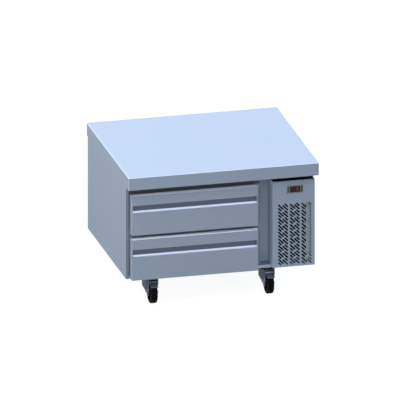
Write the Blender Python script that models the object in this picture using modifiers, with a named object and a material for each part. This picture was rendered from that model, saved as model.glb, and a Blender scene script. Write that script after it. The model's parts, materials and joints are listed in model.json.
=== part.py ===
"""A refrigerated chef base: a low cabinet on casters, with a heavy stainless worktop, two insulated
drawers for food pans on the left, and a cooling machine behind a slotted cover on the right.

Metres, +Z up, the front faces -Y. The origin is on the floor, under the middle of the worktop.
"""

import math

import bmesh
import bpy
from mathutils import Matrix, Vector

# Overall sizes
OVERALL_HEIGHT = 0.651
TOP_WIDTH = 0.924
TOP_DEPTH = 0.816
CASTER_HEIGHT = 0.127

# Clearances
FIT = 0.0003  # between two pieces that touch
PIN_FIT = 0.0003  # round a pin or shaft that turns
OVERRUN = 0.004  # how far a cutting tool passes the face that it cuts
WELD = 0.00001  # points of a mesh that are closer than this are one
SHARP_ANGLE = math.radians(40)  # an edge that turns more than this is a corner

# Worktop
TOP_SHEET = 0.002
TOP_EDGE = 0.0625
TOP_EDGE_RADIUS = 0.003
RIB_HEIGHT = 0.03
RIB_WIDTH = 0.06
RIB_SHEET = 0.002
RIB_COUNT = 3
RIB_INSET = 0.12
RIB_END_GAP = 0.006
TOP_RIGHT_CLEARANCE = 0.0107
TOP_REAR_CLEARANCE = 0.008

# Cabinet skin and base
SKIN = 0.0012
FLANGE = 0.0121
TOP_FLANGE = 0.025
BASE_THICKNESS = 0.0145
BASE_SHEET = 0.0015
BASE_RAIL = 0.11

# Insulated tub
SIDE_FOAM = 0.045
BACK_FOAM = 0.038
FLOOR_FOAM = 0.04
CEILING_FOAM = 0.05
FRAME_DEPTH = 0.008
CHANNEL_WIDTH = 0.051
CHANNEL_DEPTH = 0.0475
CHANNEL_FLANGE = 0.026

# Drawer fronts
FACE_SETBACK = 0.0245
HEADER_GAP = 0.0415
LOWER_DRAWER_EXTRA = 0.0083  # how much taller the lower drawer is
DRAWER_SPACING = 0.022
DRAWER_FOOT = 0.0017
DRAWER_LEFT_REVEAL = 0.0197
DRAWER_RIGHT_REVEAL = 0.019
FRONT_DEPTH = 0.033
FRONT_EDGE = 0.0015
FRONT_SHEET = 0.001
LINER_DEPTH = 0.0027
LINER_INSET = 0.002
PLUG_DEPTH = 0.006
PLUG_CLEARANCE = 0.003
DRAWER_CLEARANCE = 0.001
GASKET_DEPTH = 0.0077
GASKET_WIDTH = 0.014
GASKET_INSET = 0.004
GASKET_MARGIN = 0.002

# Finger pull across each drawer front
UPPER_STRIP = 0.046
LOWER_STRIP = 0.0495
PULL_HEIGHT = 0.041
PULL_DEPTH = 0.018
PULL_LIP = 0.005
PULL_HOOK = 0.009
PULL_RISE = 0.015
PULL_END = 0.004
PULL_STEPS = 5
SIDE_HOLE_RADIUS = 0.003
SIDE_HOLE_DROP = 0.0265

# Pan frames and slides
PAN_CLEARANCE = 0.02
PAN_FRAME_HEIGHT = 0.025
PAN_FRAME_SIDE = 0.014
PAN_BAR = 0.012
PAN_MIDDLE_BAR = 0.022
PAN_BACK_GAP = 0.03
FULL_PAN_WELL = 0.305
SMALL_PAN_WELL = 0.142
PLATE_PAST_MIDDLE = 0.0054  # of the height from the lower frame's top to the cavity's floor
FRAME_SHEET = 0.002
SLIDE_SPACE = 0.0135
SLIDE_HEIGHT = 0.045
SLIDE_SHEET = 0.0015
SLIDE_REACH = 0.0102
SLIDE_LENGTH = 0.5
MIDDLE_SLIDE_LENGTH = 0.46
INNER_SLIDE_LENGTH = 0.46
INNER_SLIDE_START = 0.004
SLIDE_SETBACK = 0.002

# Machine compartment cover
COVER_WIDTH = 0.205
COVER_INSET = 0.0013
COVER_GAP = 0.0245
COVER_FOOT = 0.008
COVER_RADIUS = 0.0024
SLOT_COLUMNS = 3
SLOT_COLUMN_WIDTH = 0.0481
SLOT_COLUMN_PITCH = 0.0567
SLOT_OFFSET = 0.0047
SLOT_PITCH = 0.01693
SLOT_LEAD = 0.0024
SLOT_WIDTH = 0.0081
SLOT_LONG = 0.03
SLOT_SHORT = 0.0155
SLOT_TOP_MARGIN = 0.1153
SLOT_FOOT_MARGIN = 0.005
SLOT_ANGLE = math.radians(45)
SLOT_END_STEPS = 2

# Controller
CONTROLLER_WIDTH = 0.0787
CONTROLLER_HEIGHT = 0.036
CONTROLLER_BEZEL = 0.003
CONTROLLER_DROP = 0.025
CONTROLLER_OFFSET = 0.0055
CONTROLLER_BODY_WIDTH = 0.071
CONTROLLER_BODY_HEIGHT = 0.029
CONTROLLER_BODY_DEPTH = 0.03
CONTROLLER_RIM = 0.003
WINDOW_WIDTH = 0.05
WINDOW_THICKNESS = 0.0015
KEY_WIDTH = 0.0085
KEY_HEIGHT = 0.0115
KEY_SPACING = 0.0145
KEY_PROUD = 0.0008
KEY_DEPTH = 0.003
KEY_TRAVEL = 0.0008
KEY_FIT = 0.0003

# Condenser, its shroud and its fan
SHROUD_SETBACK = 0.028
SHROUD_DEPTH = 0.08
SHROUD_LEFT_GAP = 0.005
SHROUD_RIGHT_GAP = 0.007
SHROUD_FOOT = 0.026
SHROUD_FOOT_WIDTH = 0.03
SHROUD_HEAD = 0.1272
SHROUD_END_SPACE = 0.03
CONDENSER_DEPTH = 0.044
CONDENSER_FINS = 16
FIN_GROOVE = 0.003
FIN_GROOVE_DEPTH = 0.008
HEADER_RADIUS = 0.0048
HEADER_SPACING = 0.022
HEADER_RISE = 0.014
HEADER_FOOT = 0.03
FAN_RING_SIDE = 0.0065
FAN_RING_END = 0.018
FAN_TIP_GAP = 0.007
FAN_HUB_RADIUS = 0.018
FAN_HUB_DEPTH = 0.02
FAN_SHAFT_RADIUS = 0.004
FAN_SHAFT_DEPTH = 0.012
FAN_BLADES = 4
FAN_BLADE_CHORD = 0.034
FAN_BLADE_SHEET = 0.0018
FAN_PITCH = math.radians(24)
MOTOR_RADIUS = 0.033
MOTOR_DEPTH = 0.055
SMALL_MOTOR_RADIUS = 0.024
SMALL_MOTOR_DEPTH = 0.034
BRACKET_STANDOFF = 0.03
BRACKET_WIDTH = 0.018
BRACKET_SHEET = 0.002
BRACKET_LAND = 0.012

# Compressor and pipes
COMPRESSOR_RADIUS = 0.078
COMPRESSOR_HEIGHT = 0.165
SHOULDER_STEPS = 4
COMPRESSOR_SETBACK = 0.35
COMPRESSOR_FOOT_HEIGHT = 0.014
COMPRESSOR_FOOT_RADIUS = 0.014
COMPRESSOR_PLATE = 0.003
COMPRESSOR_PLATE_WIDTH = 0.19
COMPRESSOR_PLATE_DEPTH = 0.15
TERMINAL_WIDTH = 0.06
TERMINAL_DEPTH = 0.04
TERMINAL_HEIGHT = 0.07
STUB_OFFSET = 0.042
STUB_RISE = 0.02
SUCTION_RADIUS = 0.0048
PRESSURE_RADIUS = 0.0034
PIPE_BEND = 0.02
PIPE_BEND_STEPS = 4
PIPE_HOLE_GAP = 0.001
SUCTION_RISE = 0.055
DISCHARGE_RISE = 0.022
LIQUID_RISE = 0.05
PIPE_SPACING = 0.01

# Evaporator
EVAPORATOR_SIDE = 0.03
EVAPORATOR_END_SPACE = 0.045
EVAPORATOR_DEPTH = 0.05
EVAPORATOR_LOW = 0.045
EVAPORATOR_HIGH = 0.03
EVAPORATOR_FINS = 20
FAN_BOX_DEPTH = 0.115
FAN_BOX_SHEET = 0.0012
FAN_BOX_MARGIN = 0.008
EVAPORATOR_RING_RADIUS = 0.07
EVAPORATOR_FAN_RADIUS = 0.064
EVAPORATOR_STANDOFF = 0.024

# Back panel
VENT_SLOTS = 9
VENT_WIDTH = 0.15
VENT_HEIGHT = 0.006
VENT_PITCH = 0.016
VENT_DROP = 0.07
BUSHING_RADIUS = 0.011
BUSHING_BORE = 0.005
BUSHING_DEPTH = 0.006
BUSHING_INSET = 0.05

# Casters
CASTER_LEFT = 0.127
CASTER_SPACING = 0.565
CASTER_FRONT = 0.0395
CASTER_REAR = 0.07
PLATE_WIDTH = 0.092
PLATE_DEPTH = 0.06
PLATE_SHEET = 0.003
PLATE_HOLE_RADIUS = 0.004
PLATE_HOLE_INSET = 0.009
RACE_RADIUS = 0.024
RACE_DEPTH = 0.007
KINGPIN_RADIUS = 0.006
KINGPIN_HEAD_RADIUS = 0.009
KINGPIN_HEAD = 0.003
CROWN_RADIUS = 0.0398
BELL_RADIUS = 0.0393
BELL_STRAIGHT = 0.039
BELL_DEPTH = 0.058
BELL_FOOT_RADIUS = 0.03
FORK_SHEET = 0.003
CHEEK_REACH = 0.032
# Behind the swivel, and above the axle
CHEEK_CORNERS = [(0.01, -0.011), (0.026, 0.001), (0.032, 0.013)]
TRAIL = 0.041
WHEEL_RADIUS = 0.051
WHEEL_WIDTH = 0.032
WHEEL_EDGE = 0.005
HUB_RADIUS = 0.014
HUB_OVERHANG = 0.002
RIM_RADIUS = 0.034
RIM_DISH = 0.008
FORK_GAP = 0.0005
AXLE_RADIUS = 0.005
AXLE_END_RADIUS = 0.015
AXLE_END_ANGLES = (190, 310)
AXLE_END_STEPS = 5
AXLE_HEAD_RADIUS = 0.0085
AXLE_HEAD = 0.005
PEDAL_AHEAD = 0.053
PEDAL_DROP = 0.0205
PEDAL_EAR_RADIUS = 0.007
EAR_ANGLES = (120, 215)
EAR_STEPS = 3
PEDAL_PIN_RADIUS = 0.0025
PEDAL_BARREL_RADIUS = 0.0045
PEDAL_LENGTH = 0.042
PEDAL_SHEET = 0.003
PEDAL_WIDTH = 0.0345
PEDAL_SLOPE = math.radians(20)
PEDAL_SLOTS = 3
PEDAL_SLOT_WIDTH = 0.003
PEDAL_SLOT_MARGIN = 0.005

# Facets of round pieces
ROUND = 24
SMALL_ROUND = 10
HOLE_ROUND = 14

# Places across the width
LEFT = -TOP_WIDTH / 2
RIGHT = TOP_WIDTH / 2
CABINET_LEFT = LEFT + TOP_SHEET + FIT
CABINET_RIGHT = RIGHT - TOP_SHEET - TOP_RIGHT_CLEARANCE
BASE_LEFT = CABINET_LEFT + FLANGE + FIT
BASE_RIGHT = CABINET_RIGHT - FLANGE - FIT
COVER_RIGHT = CABINET_RIGHT - COVER_INSET
COVER_LEFT = COVER_RIGHT - COVER_WIDTH
TUB_LEFT = CABINET_LEFT + SKIN + FIT
TUB_RIGHT = COVER_LEFT - CHANNEL_WIDTH
CAVITY_LEFT = TUB_LEFT + SIDE_FOAM
CAVITY_RIGHT = TUB_RIGHT - SIDE_FOAM
DRAWER_LEFT = CABINET_LEFT + DRAWER_LEFT_REVEAL
DRAWER_RIGHT = TUB_RIGHT - DRAWER_RIGHT_REVEAL
POST_LEFT = TUB_RIGHT + FIT
POST_RIGHT = COVER_LEFT + 2 * SKIN + FIT

# Places from front to back
FRONT = -TOP_DEPTH / 2
BACK = TOP_DEPTH / 2
FACE = FRONT + FACE_SETBACK
FRONT_BACK = FACE + FRONT_DEPTH
LINER_FRONT = FRONT_BACK + FIT
LINER_BACK = LINER_FRONT + LINER_DEPTH
CABINET_FRONT = LINER_BACK + DRAWER_CLEARANCE
CABINET_BACK = BACK - TOP_SHEET - TOP_REAR_CLEARANCE
FRAME_FRONT = LINER_BACK + FIT + GASKET_DEPTH + FIT
TUB_FRONT = FRAME_FRONT + FRAME_DEPTH + FIT
TUB_BACK = CABINET_BACK - SKIN - FIT
CAVITY_BACK = TUB_BACK - BACK_FOAM
POST_FACE = FRAME_FRONT + CHANNEL_DEPTH

# Places from floor to worktop
BASE_TOP = CASTER_HEIGHT + BASE_THICKNESS
ON_BASE = BASE_TOP + FIT
PANEL_TOP = OVERALL_HEIGHT - TOP_SHEET - RIB_HEIGHT - FIT
TUB_TOP = PANEL_TOP - SKIN - FIT
CAVITY_LOW = ON_BASE + FLOOR_FOAM
CAVITY_HIGH = TUB_TOP - CEILING_FOAM
EDGE_LOW = OVERALL_HEIGHT - TOP_EDGE
UPPER_HIGH = EDGE_LOW - HEADER_GAP
LOWER_LOW = CASTER_HEIGHT + DRAWER_FOOT
UPPER_LOW = UPPER_HIGH - (UPPER_HIGH - LOWER_LOW - DRAWER_SPACING - LOWER_DRAWER_EXTRA) / 2
LOWER_HIGH = UPPER_LOW - DRAWER_SPACING
LAP = GASKET_INSET + GASKET_WIDTH + GASKET_MARGIN
UPPER_OPENING = (UPPER_LOW + LAP, UPPER_HIGH - LAP)
LOWER_OPENING = (CAVITY_LOW, LOWER_HIGH - LAP)
FRAME_PLATE_HEIGHT = (LOWER_OPENING[1] - PAN_CLEARANCE - CAVITY_LOW) / 2 + PLATE_PAST_MIDDLE
COVER_HIGH = EDGE_LOW - COVER_GAP
COVER_LOW = CASTER_HEIGHT + COVER_FOOT
SLOT_LINES = int((COVER_HIGH - COVER_LOW - SLOT_TOP_MARGIN - SLOT_FOOT_MARGIN) / SLOT_PITCH)

# Places of the controller
CONTROLLER_X = (COVER_LEFT + COVER_RIGHT) / 2 + CONTROLLER_OFFSET
BEZEL_FACE = FACE - FIT - CONTROLLER_BEZEL
KEY_OFFSET = (CONTROLLER_WIDTH + WINDOW_WIDTH) / 4
KEY_FLOOR = BEZEL_FACE - KEY_PROUD + KEY_DEPTH + KEY_TRAVEL + FIT
KEY_CELLS = [(side, level) for side in (-1, 1) for level in (1, -1)]

# Places of the machine
SHROUD_LEFT = COVER_LEFT + SHROUD_LEFT_GAP
SHROUD_RIGHT = COVER_RIGHT - SHROUD_RIGHT_GAP
SHROUD_FRONT = CABINET_FRONT + SHROUD_SETBACK
SHROUD_BACK = SHROUD_FRONT + SHROUD_DEPTH
SHROUD_LOW = ON_BASE + SHROUD_FOOT
SHROUD_HIGH = COVER_HIGH - SHROUD_HEAD
FAN_X = (SHROUD_LEFT + SHROUD_RIGHT) / 2
FAN_Z = (SHROUD_LOW + SHROUD_HIGH) / 2
FAN_RING_RADIUS = min(FAN_X - SHROUD_LEFT - FAN_RING_SIDE, FAN_Z - SHROUD_LOW - FAN_RING_END)
CONDENSER_RIGHT = SHROUD_RIGHT - SHROUD_END_SPACE
HEADER_X = (CONDENSER_RIGHT + SHROUD_RIGHT) / 2
HEADER_FRONT = SHROUD_FRONT + CONDENSER_DEPTH / 2 - HEADER_SPACING / 2
HEADER_TOP = SHROUD_HIGH + HEADER_RISE
COMPRESSOR_X = (POST_LEFT + CABINET_RIGHT) / 2
COMPRESSOR_Y = CABINET_FRONT + COMPRESSOR_SETBACK
DOME_LOW = ON_BASE + COMPRESSOR_FOOT_HEIGHT
DOME_HIGH = DOME_LOW + COMPRESSOR_HEIGHT
STUB_TOP = DOME_HIGH + STUB_RISE
EVAPORATOR_RIGHT = CAVITY_RIGHT - EVAPORATOR_END_SPACE
EVAPORATOR_Y = CAVITY_BACK - FIT - EVAPORATOR_DEPTH / 2
FAN_BOX_FRONT = CAVITY_BACK - FIT - FAN_BOX_DEPTH
PAN_FRAME_FRONT = LINER_BACK + PLUG_DEPTH + FIT
SMALL_PAN_ROOM = FAN_BOX_FRONT - PAN_BACK_GAP - PAN_FRAME_FRONT - PAN_BAR - FULL_PAN_WELL
SMALL_PANS = int(SMALL_PAN_ROOM / (SMALL_PAN_WELL + PAN_MIDDLE_BAR))
SUCTION_Z = STUB_TOP + SUCTION_RISE
LIQUID_Z = max(
    HEADER_TOP + LIQUID_RISE, SUCTION_Z + SUCTION_RADIUS + PRESSURE_RADIUS + PIPE_SPACING
)
PIPE_END = CAVITY_RIGHT - EVAPORATOR_END_SPACE / 4
STUBS = [
    ("suction", (COMPRESSOR_X - STUB_OFFSET, COMPRESSOR_Y + STUB_OFFSET), SUCTION_RADIUS),
    ("discharge", (COMPRESSOR_X + STUB_OFFSET, COMPRESSOR_Y - STUB_OFFSET), PRESSURE_RADIUS),
]
PIPE_RUNS = [("suction", SUCTION_Z, SUCTION_RADIUS), ("liquid", LIQUID_Z, PRESSURE_RADIUS)]

# Places of a caster
PLATE_TOP = CASTER_HEIGHT - FIT
RACE_LOW = PLATE_TOP - PLATE_SHEET - RACE_DEPTH
CROWN_TOP = RACE_LOW - FIT
CROWN_LOW = CROWN_TOP - FORK_SHEET
LEG_INSIDE = WHEEL_WIDTH / 2 + HUB_OVERHANG + FORK_GAP
LEG_OUTSIDE = LEG_INSIDE + FORK_SHEET

MATERIALS = {
    "stainless_steel": ((0.55, 0.60, 0.67), 0.34, 1.0),
    "galvanised_steel": ((0.62, 0.63, 0.62), 0.5, 1.0),
    "zinc_plated_steel": ((0.36, 0.39, 0.45), 0.4, 1.0),
    "tub_liner": ((0.80, 0.82, 0.84), 0.45, 0.0),
    "frame_plastic": ((0.20, 0.19, 0.19), 0.55, 0.0),
    "gasket_rubber": ((0.12, 0.12, 0.13), 0.7, 0.0),
    "black_plastic": ((0.04, 0.04, 0.045), 0.45, 0.0),
    "grey_plastic": ((0.33, 0.35, 0.36), 0.5, 0.0),
    "dark_window": ((0.02, 0.015, 0.015), 0.12, 0.0),
    "black_paint": ((0.03, 0.03, 0.035), 0.4, 0.0),
    "aluminium_fins": ((0.30, 0.31, 0.33), 0.45, 1.0),
    "copper": ((0.72, 0.43, 0.30), 0.35, 1.0),
    "black_polyurethane": ((0.02, 0.02, 0.02), 0.6, 0.0),
}


def clear_scene():
    for old in list(bpy.data.objects):
        bpy.data.objects.remove(old)


def new_collection(name):
    collection = bpy.data.collections.new(name)
    bpy.context.scene.collection.children.link(collection)
    return collection


def make_material(name):
    colour, roughness, metallic = MATERIALS[name]
    material = bpy.data.materials.new(name)
    material.use_nodes = True
    shader = material.node_tree.nodes["Principled BSDF"]
    shader.inputs["Base Color"].default_value = (*colour, 1)
    shader.inputs["Roughness"].default_value = roughness
    shader.inputs["Metallic"].default_value = metallic
    material.diffuse_color = (*colour, 1)
    return material


def new_object(name, data):
    obj = bpy.data.objects.new(name, data)
    PARTS.objects.link(obj)
    return obj


def box_mesh(name, corners):
    """One mesh of a box for each pair of lowest and highest corners."""
    mesh = bpy.data.meshes.new(name)
    shape = bmesh.new()
    for low, high in corners:
        for vertex in bmesh.ops.create_cube(shape, size=1)["verts"]:
            vertex.co = [high[i] if vertex.co[i] > 0 else low[i] for i in range(3)]
    shape.to_mesh(mesh)
    shape.free()
    return mesh


def box(name, low, high):
    return new_object(name, box_mesh(name, [(low, high)]))


def boxes(name, corners):
    return new_object(name, box_mesh(name, corners))


def cylinder(name, centre, radius, depth, axis="Z", facets=HOLE_ROUND):
    """A cylinder about an axis of the world, centred on a point."""
    turn = {"X": Matrix.Rotation(math.radians(90), 4, "Y"), "Z": Matrix.Identity(4)}
    turn["Y"] = Matrix.Rotation(math.radians(90), 4, "X")
    mesh = bpy.data.meshes.new(name)
    shape = bmesh.new()
    bmesh.ops.create_cone(
        shape,
        cap_ends=True,
        segments=facets,
        radius1=radius,
        radius2=radius,
        depth=depth,
        matrix=Matrix.Translation(centre) @ turn[axis],
    )
    shape.to_mesh(mesh)
    shape.free()
    mesh.shade_smooth()
    mesh.set_sharp_from_angle(angle=SHARP_ANGLE)
    return new_object(name, mesh)


def turned(name, profile, centre, axis="Z", facets=ROUND, closed=False):
    """A turned solid: the profile gives its radius and height, down the outer side from the top."""
    mesh = bpy.data.meshes.new(name)
    points = [(radius, 0, height) for radius, height in profile]
    edges = [(i, i + 1) for i in range(len(points) - 1)]
    if closed:
        edges.append((len(points) - 1, 0))
    mesh.from_pydata(points, edges, [])
    obj = new_object(name, mesh)
    obj.location = centre
    turn = {"X": (0, math.radians(90), 0), "Y": (math.radians(90), 0, 0), "Z": (0, 0, 0)}
    obj.rotation_euler = turn[axis]
    screw = obj.modifiers.new("Screw", "SCREW")
    screw.axis = "Z"
    screw.angle = math.radians(360)
    screw.steps = screw.render_steps = facets
    screw.use_merge_vertices = True
    screw.merge_threshold = WELD
    screw.use_smooth_shade = False
    return obj


def flat_outline(name, outline, low, high, axis="X"):
    """A flat piece: an outline across one axis, filled and extruded from low to high along it."""
    curve = bpy.data.curves.new(name, "CURVE")
    curve.dimensions = "2D"
    curve.fill_mode = "BOTH"
    curve.extrude = (high - low) / 2
    spline = curve.splines.new("POLY")
    spline.points.add(len(outline) - 1)
    for point, (across, up) in zip(spline.points, outline):
        point.co = (across, up, 0, 1)
    spline.use_cyclic_u = True
    middle = (high + low) / 2
    # The outline's own plane stands up, facing along the axis.
    to_x = Matrix(((0, 0, 1, middle), (1, 0, 0, 0), (0, 1, 0, 0), (0, 0, 0, 1)))
    to_y = Matrix(((1, 0, 0, 0), (0, 0, 1, middle), (0, 1, 0, 0), (0, 0, 0, 1)))
    return curve_to_mesh(name, curve, to_x if axis == "X" else to_y)


def curve_to_mesh(name, curve, place):
    """The mesh that a curve makes, with its caps welded, so that it can be cut and joined."""
    guide = bpy.data.objects.new(name + "_curve", curve)
    PARTS.objects.link(guide)
    bpy.context.view_layer.update()
    mesh = bpy.data.meshes.new_from_object(
        guide.evaluated_get(bpy.context.evaluated_depsgraph_get())
    )
    mesh.name = name
    shape = bmesh.new()
    shape.from_mesh(mesh)
    bmesh.ops.remove_doubles(shape, verts=shape.verts, dist=WELD)
    bmesh.ops.transform(shape, matrix=place, verts=shape.verts)
    bmesh.ops.recalc_face_normals(shape, faces=shape.faces)
    shape.to_mesh(mesh)
    shape.free()
    mesh.materials.clear()
    bpy.data.objects.remove(guide)
    bpy.data.curves.remove(curve)
    return new_object(name, mesh)


def tube(name, corners, radius):
    """A bent tube through the corners of its run, with a bend at each."""
    curve = bpy.data.curves.new(name, "CURVE")
    curve.dimensions = "3D"
    curve.bevel_depth = radius
    curve.bevel_resolution = 1
    curve.use_fill_caps = True
    points = bent_run([Vector(corner) for corner in corners])
    spline = curve.splines.new("POLY")
    spline.points.add(len(points) - 1)
    for point, place in zip(spline.points, points):
        point.co = (*place, 1)
    return curve_to_mesh(name, curve, Matrix.Identity(4))


def bent_run(corners):
    """The points of a run whose corners are rounded by a bend."""
    points = [corners[0]]
    for before, corner, after in zip(corners, corners[1:], corners[2:]):
        reach = min(PIPE_BEND, (before - corner).length / 2, (after - corner).length / 2)
        start = corner + (before - corner).normalized() * reach
        end = corner + (after - corner).normalized() * reach
        for step in range(PIPE_BEND_STEPS + 1):
            share = step / PIPE_BEND_STEPS
            points.append(start.lerp(corner, share).lerp(corner.lerp(end, share), share))
    points.append(corners[-1])
    return points


def arc(centre, radius, start, end, steps):
    """Points of an arc from one angle to another, in degrees."""
    turns = [start + (end - start) * step / steps for step in range(steps + 1)]
    return [
        (
            centre[0] + radius * math.cos(math.radians(turn)),
            centre[1] + radius * math.sin(math.radians(turn)),
        )
        for turn in turns
    ]


def as_tool(tool):
    if tool.name in PARTS.objects:
        PARTS.objects.unlink(tool)
        TOOLS.objects.link(tool)
    tool.hide_render = True
    tool.display_type = "WIRE"


def boolean(obj, tool, operation):
    modifier = obj.modifiers.new(operation.title(), "BOOLEAN")
    modifier.operation = operation
    modifier.object = tool
    as_tool(tool)


def cut(obj, *tools):
    for tool in tools:
        boolean(obj, tool, "DIFFERENCE")


def join(obj, *tools):
    for tool in tools:
        boolean(obj, tool, "UNION")


def bevel(obj, width, segments=2):
    modifier = obj.modifiers.new("Bevel", "BEVEL")
    modifier.width = width
    modifier.segments = segments
    modifier.limit_method = "ANGLE"
    modifier.angle_limit = SHARP_ANGLE


def finish(obj, material, pivot=None):
    """Gives a piece its material and, if it moves, hangs it and its tools on its joint's empty."""
    obj.data.materials.append(PAINTS[material])
    if pivot:
        hang(obj, pivot)
    return obj


def hang(obj, pivot):
    obj.parent = pivot
    obj.matrix_parent_inverse = Matrix.Translation(-AXES[pivot.name])
    for modifier in obj.modifiers:
        if modifier.type == "BOOLEAN":
            hang(modifier.object, pivot)


def joint_empty(name, place, parent=None):
    """An empty on a joint's axis, which carries what moves with it."""
    empty = bpy.data.objects.new(name, None)
    empty.empty_display_size = HUB_RADIUS
    PARTS.objects.link(empty)
    AXES[name] = Vector(place)
    empty.location = AXES[name]
    if parent:
        empty.parent = parent
        empty.location = AXES[name] - AXES[parent.name]
    return empty


def worktop():
    foot = EDGE_LOW - 2 * TOP_EDGE_RADIUS
    top = box("worktop", (LEFT, FRONT, foot), (RIGHT, BACK, OVERALL_HEIGHT))
    bevel(top, TOP_EDGE_RADIUS)
    below = box(
        "worktop_below",
        (LEFT - OVERRUN, FRONT - OVERRUN, foot - OVERRUN),
        (RIGHT + OVERRUN, BACK + OVERRUN, EDGE_LOW),
    )
    inside = box(
        "worktop_inside",
        (LEFT + TOP_SHEET, FRONT + TOP_SHEET, EDGE_LOW - OVERRUN),
        (RIGHT - TOP_SHEET, BACK - TOP_SHEET, OVERALL_HEIGHT - TOP_SHEET),
    )
    cut(top, below, inside)
    first = FRONT + RIB_INSET
    step = (BACK - RIB_INSET - RIB_WIDTH - first) / (RIB_COUNT - 1)
    under = OVERALL_HEIGHT - TOP_SHEET
    for index in range(RIB_COUNT):
        near = first + step * index
        rib = box(
            f"worktop_rib_{index + 1}",
            (CABINET_LEFT + RIB_END_GAP, near, under - RIB_HEIGHT),
            (CABINET_RIGHT - RIB_END_GAP, near + RIB_WIDTH, under + TOP_SHEET / 2),
        )
        hollow = box(
            f"worktop_rib_hollow_{index + 1}",
            (CABINET_LEFT + RIB_END_GAP / 2, near + RIB_SHEET, under - RIB_HEIGHT + RIB_SHEET),
            (CABINET_RIGHT - RIB_END_GAP / 2, near + RIB_WIDTH - RIB_SHEET, under),
        )
        join(top, rib)
        cut(top, hollow)
    return finish(top, "stainless_steel")


def side_panel(name, outer, inward):
    """A side skin with flanges turned in at its front, top and foot. inward is 1 or -1 along X."""

    def span(start, end):
        return sorted((outer + inward * start, outer + inward * end))

    def flange(part, start, end, low, high):
        near, far = span(start, end)
        return box(f"{name}_{part}", (near, low[0], low[1]), (far, high[0], high[1]))

    skin_near, skin_far = span(0, SKIN)
    panel = box(
        name,
        (skin_near, CABINET_FRONT, CASTER_HEIGHT),
        (skin_far, CABINET_BACK, PANEL_TOP),
    )
    return_back = FRAME_FRONT + FRAME_DEPTH
    front_low, front_high = (CABINET_FRONT, CASTER_HEIGHT), (CABINET_FRONT + SKIN, PANEL_TOP)
    join(
        panel,
        flange("front", 0, FLANGE, front_low, front_high),
        flange("return", FLANGE - SKIN, FLANGE, front_low, (return_back, PANEL_TOP)),
        flange("foot", 0, FLANGE, front_low, (CABINET_BACK, CASTER_HEIGHT + SKIN)),
        flange("top", 0, TOP_FLANGE, (TUB_FRONT, PANEL_TOP - SKIN), (CABINET_BACK, PANEL_TOP)),
    )
    return finish(panel, "stainless_steel")


def back_panel():
    left, right = CABINET_LEFT + SKIN + FIT, CABINET_RIGHT - SKIN - FIT
    panel = box("back_panel", (left, CABINET_BACK - SKIN, ON_BASE), (right, CABINET_BACK, TUB_TOP))
    middle = (POST_LEFT + right) / 2
    slots = []
    for index in range(VENT_SLOTS):
        high = TUB_TOP - VENT_DROP - VENT_PITCH * index
        slots.append(
            (
                (middle - VENT_WIDTH / 2, CABINET_BACK - SKIN - OVERRUN, high - VENT_HEIGHT),
                (middle + VENT_WIDTH / 2, CABINET_BACK + OVERRUN, high),
            )
        )
    cut(panel, boxes("back_panel_vents", slots))
    place = (right - BUSHING_INSET, CABINET_BACK - SKIN / 2, ON_BASE + BUSHING_INSET)
    bushing = cylinder("cord_bushing", place, BUSHING_RADIUS, BUSHING_DEPTH, "Y")
    join(panel, bushing)
    bore_depth = BUSHING_DEPTH + 2 * OVERRUN
    cut(panel, cylinder("cord_bushing_bore", place, BUSHING_BORE, bore_depth, "Y"))
    return finish(panel, "galvanised_steel")


def base_pan():
    low, high = (BASE_LEFT, CABINET_FRONT, CASTER_HEIGHT), (BASE_RIGHT, CABINET_BACK, BASE_TOP)
    pan = box("base_pan", low, high)
    inside = box(
        "base_pan_inside",
        (BASE_LEFT + BASE_SHEET, CABINET_FRONT + BASE_SHEET, CASTER_HEIGHT + BASE_SHEET),
        (BASE_RIGHT - BASE_SHEET, CABINET_BACK - BASE_SHEET, BASE_TOP - BASE_SHEET),
    )
    open_foot = box(
        "base_pan_open_foot",
        (BASE_LEFT + BASE_SHEET, CABINET_FRONT + BASE_RAIL, CASTER_HEIGHT - OVERRUN),
        (BASE_RIGHT - BASE_SHEET, CABINET_BACK - BASE_RAIL, CASTER_HEIGHT + 2 * BASE_SHEET),
    )
    cut(pan, inside, open_foot)
    return finish(pan, "stainless_steel")


def insulated_tub():
    tub = box("insulated_tub", (TUB_LEFT, TUB_FRONT, ON_BASE), (TUB_RIGHT, TUB_BACK, TUB_TOP))
    cavity = box(
        "insulated_tub_cavity",
        (CAVITY_LEFT, TUB_FRONT - OVERRUN, CAVITY_LOW),
        (CAVITY_RIGHT, CAVITY_BACK, CAVITY_HIGH),
    )
    cut(tub, cavity)
    for name, height, radius in PIPE_RUNS:
        place = (TUB_RIGHT - SIDE_FOAM / 2, EVAPORATOR_Y, height)
        length = SIDE_FOAM + 2 * OVERRUN
        cut(tub, cylinder(f"{name}_hole", place, radius + PIPE_HOLE_GAP, length, "X"))
    return finish(tub, "tub_liner")


def opening_frame():
    low, high = (BASE_LEFT, FRAME_FRONT, ON_BASE), (TUB_RIGHT, FRAME_FRONT + FRAME_DEPTH, TUB_TOP)
    frame = box("opening_frame", low, high)
    bevel(frame, FRONT_EDGE, 1)
    windows = [
        ((CAVITY_LEFT, FRAME_FRONT - OVERRUN, foot), (CAVITY_RIGHT, TUB_FRONT, head))
        for foot, head in (UPPER_OPENING, LOWER_OPENING)
    ]
    cut(frame, boxes("opening_frame_windows", windows))
    return finish(frame, "frame_plastic")


def channel_post():
    post = box(
        "channel_post", (POST_LEFT, POST_FACE, ON_BASE), (POST_RIGHT, POST_FACE + SKIN, PANEL_TOP)
    )
    left = box(
        "channel_post_left",
        (POST_LEFT, FRAME_FRONT, ON_BASE),
        (POST_LEFT + SKIN, POST_FACE + SKIN, PANEL_TOP),
    )
    right = box(
        "channel_post_right",
        (POST_RIGHT - SKIN, POST_FACE + SKIN - CHANNEL_FLANGE, ON_BASE),
        (POST_RIGHT, POST_FACE + SKIN, PANEL_TOP),
    )
    join(post, left, right)
    return finish(post, "stainless_steel")


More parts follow.
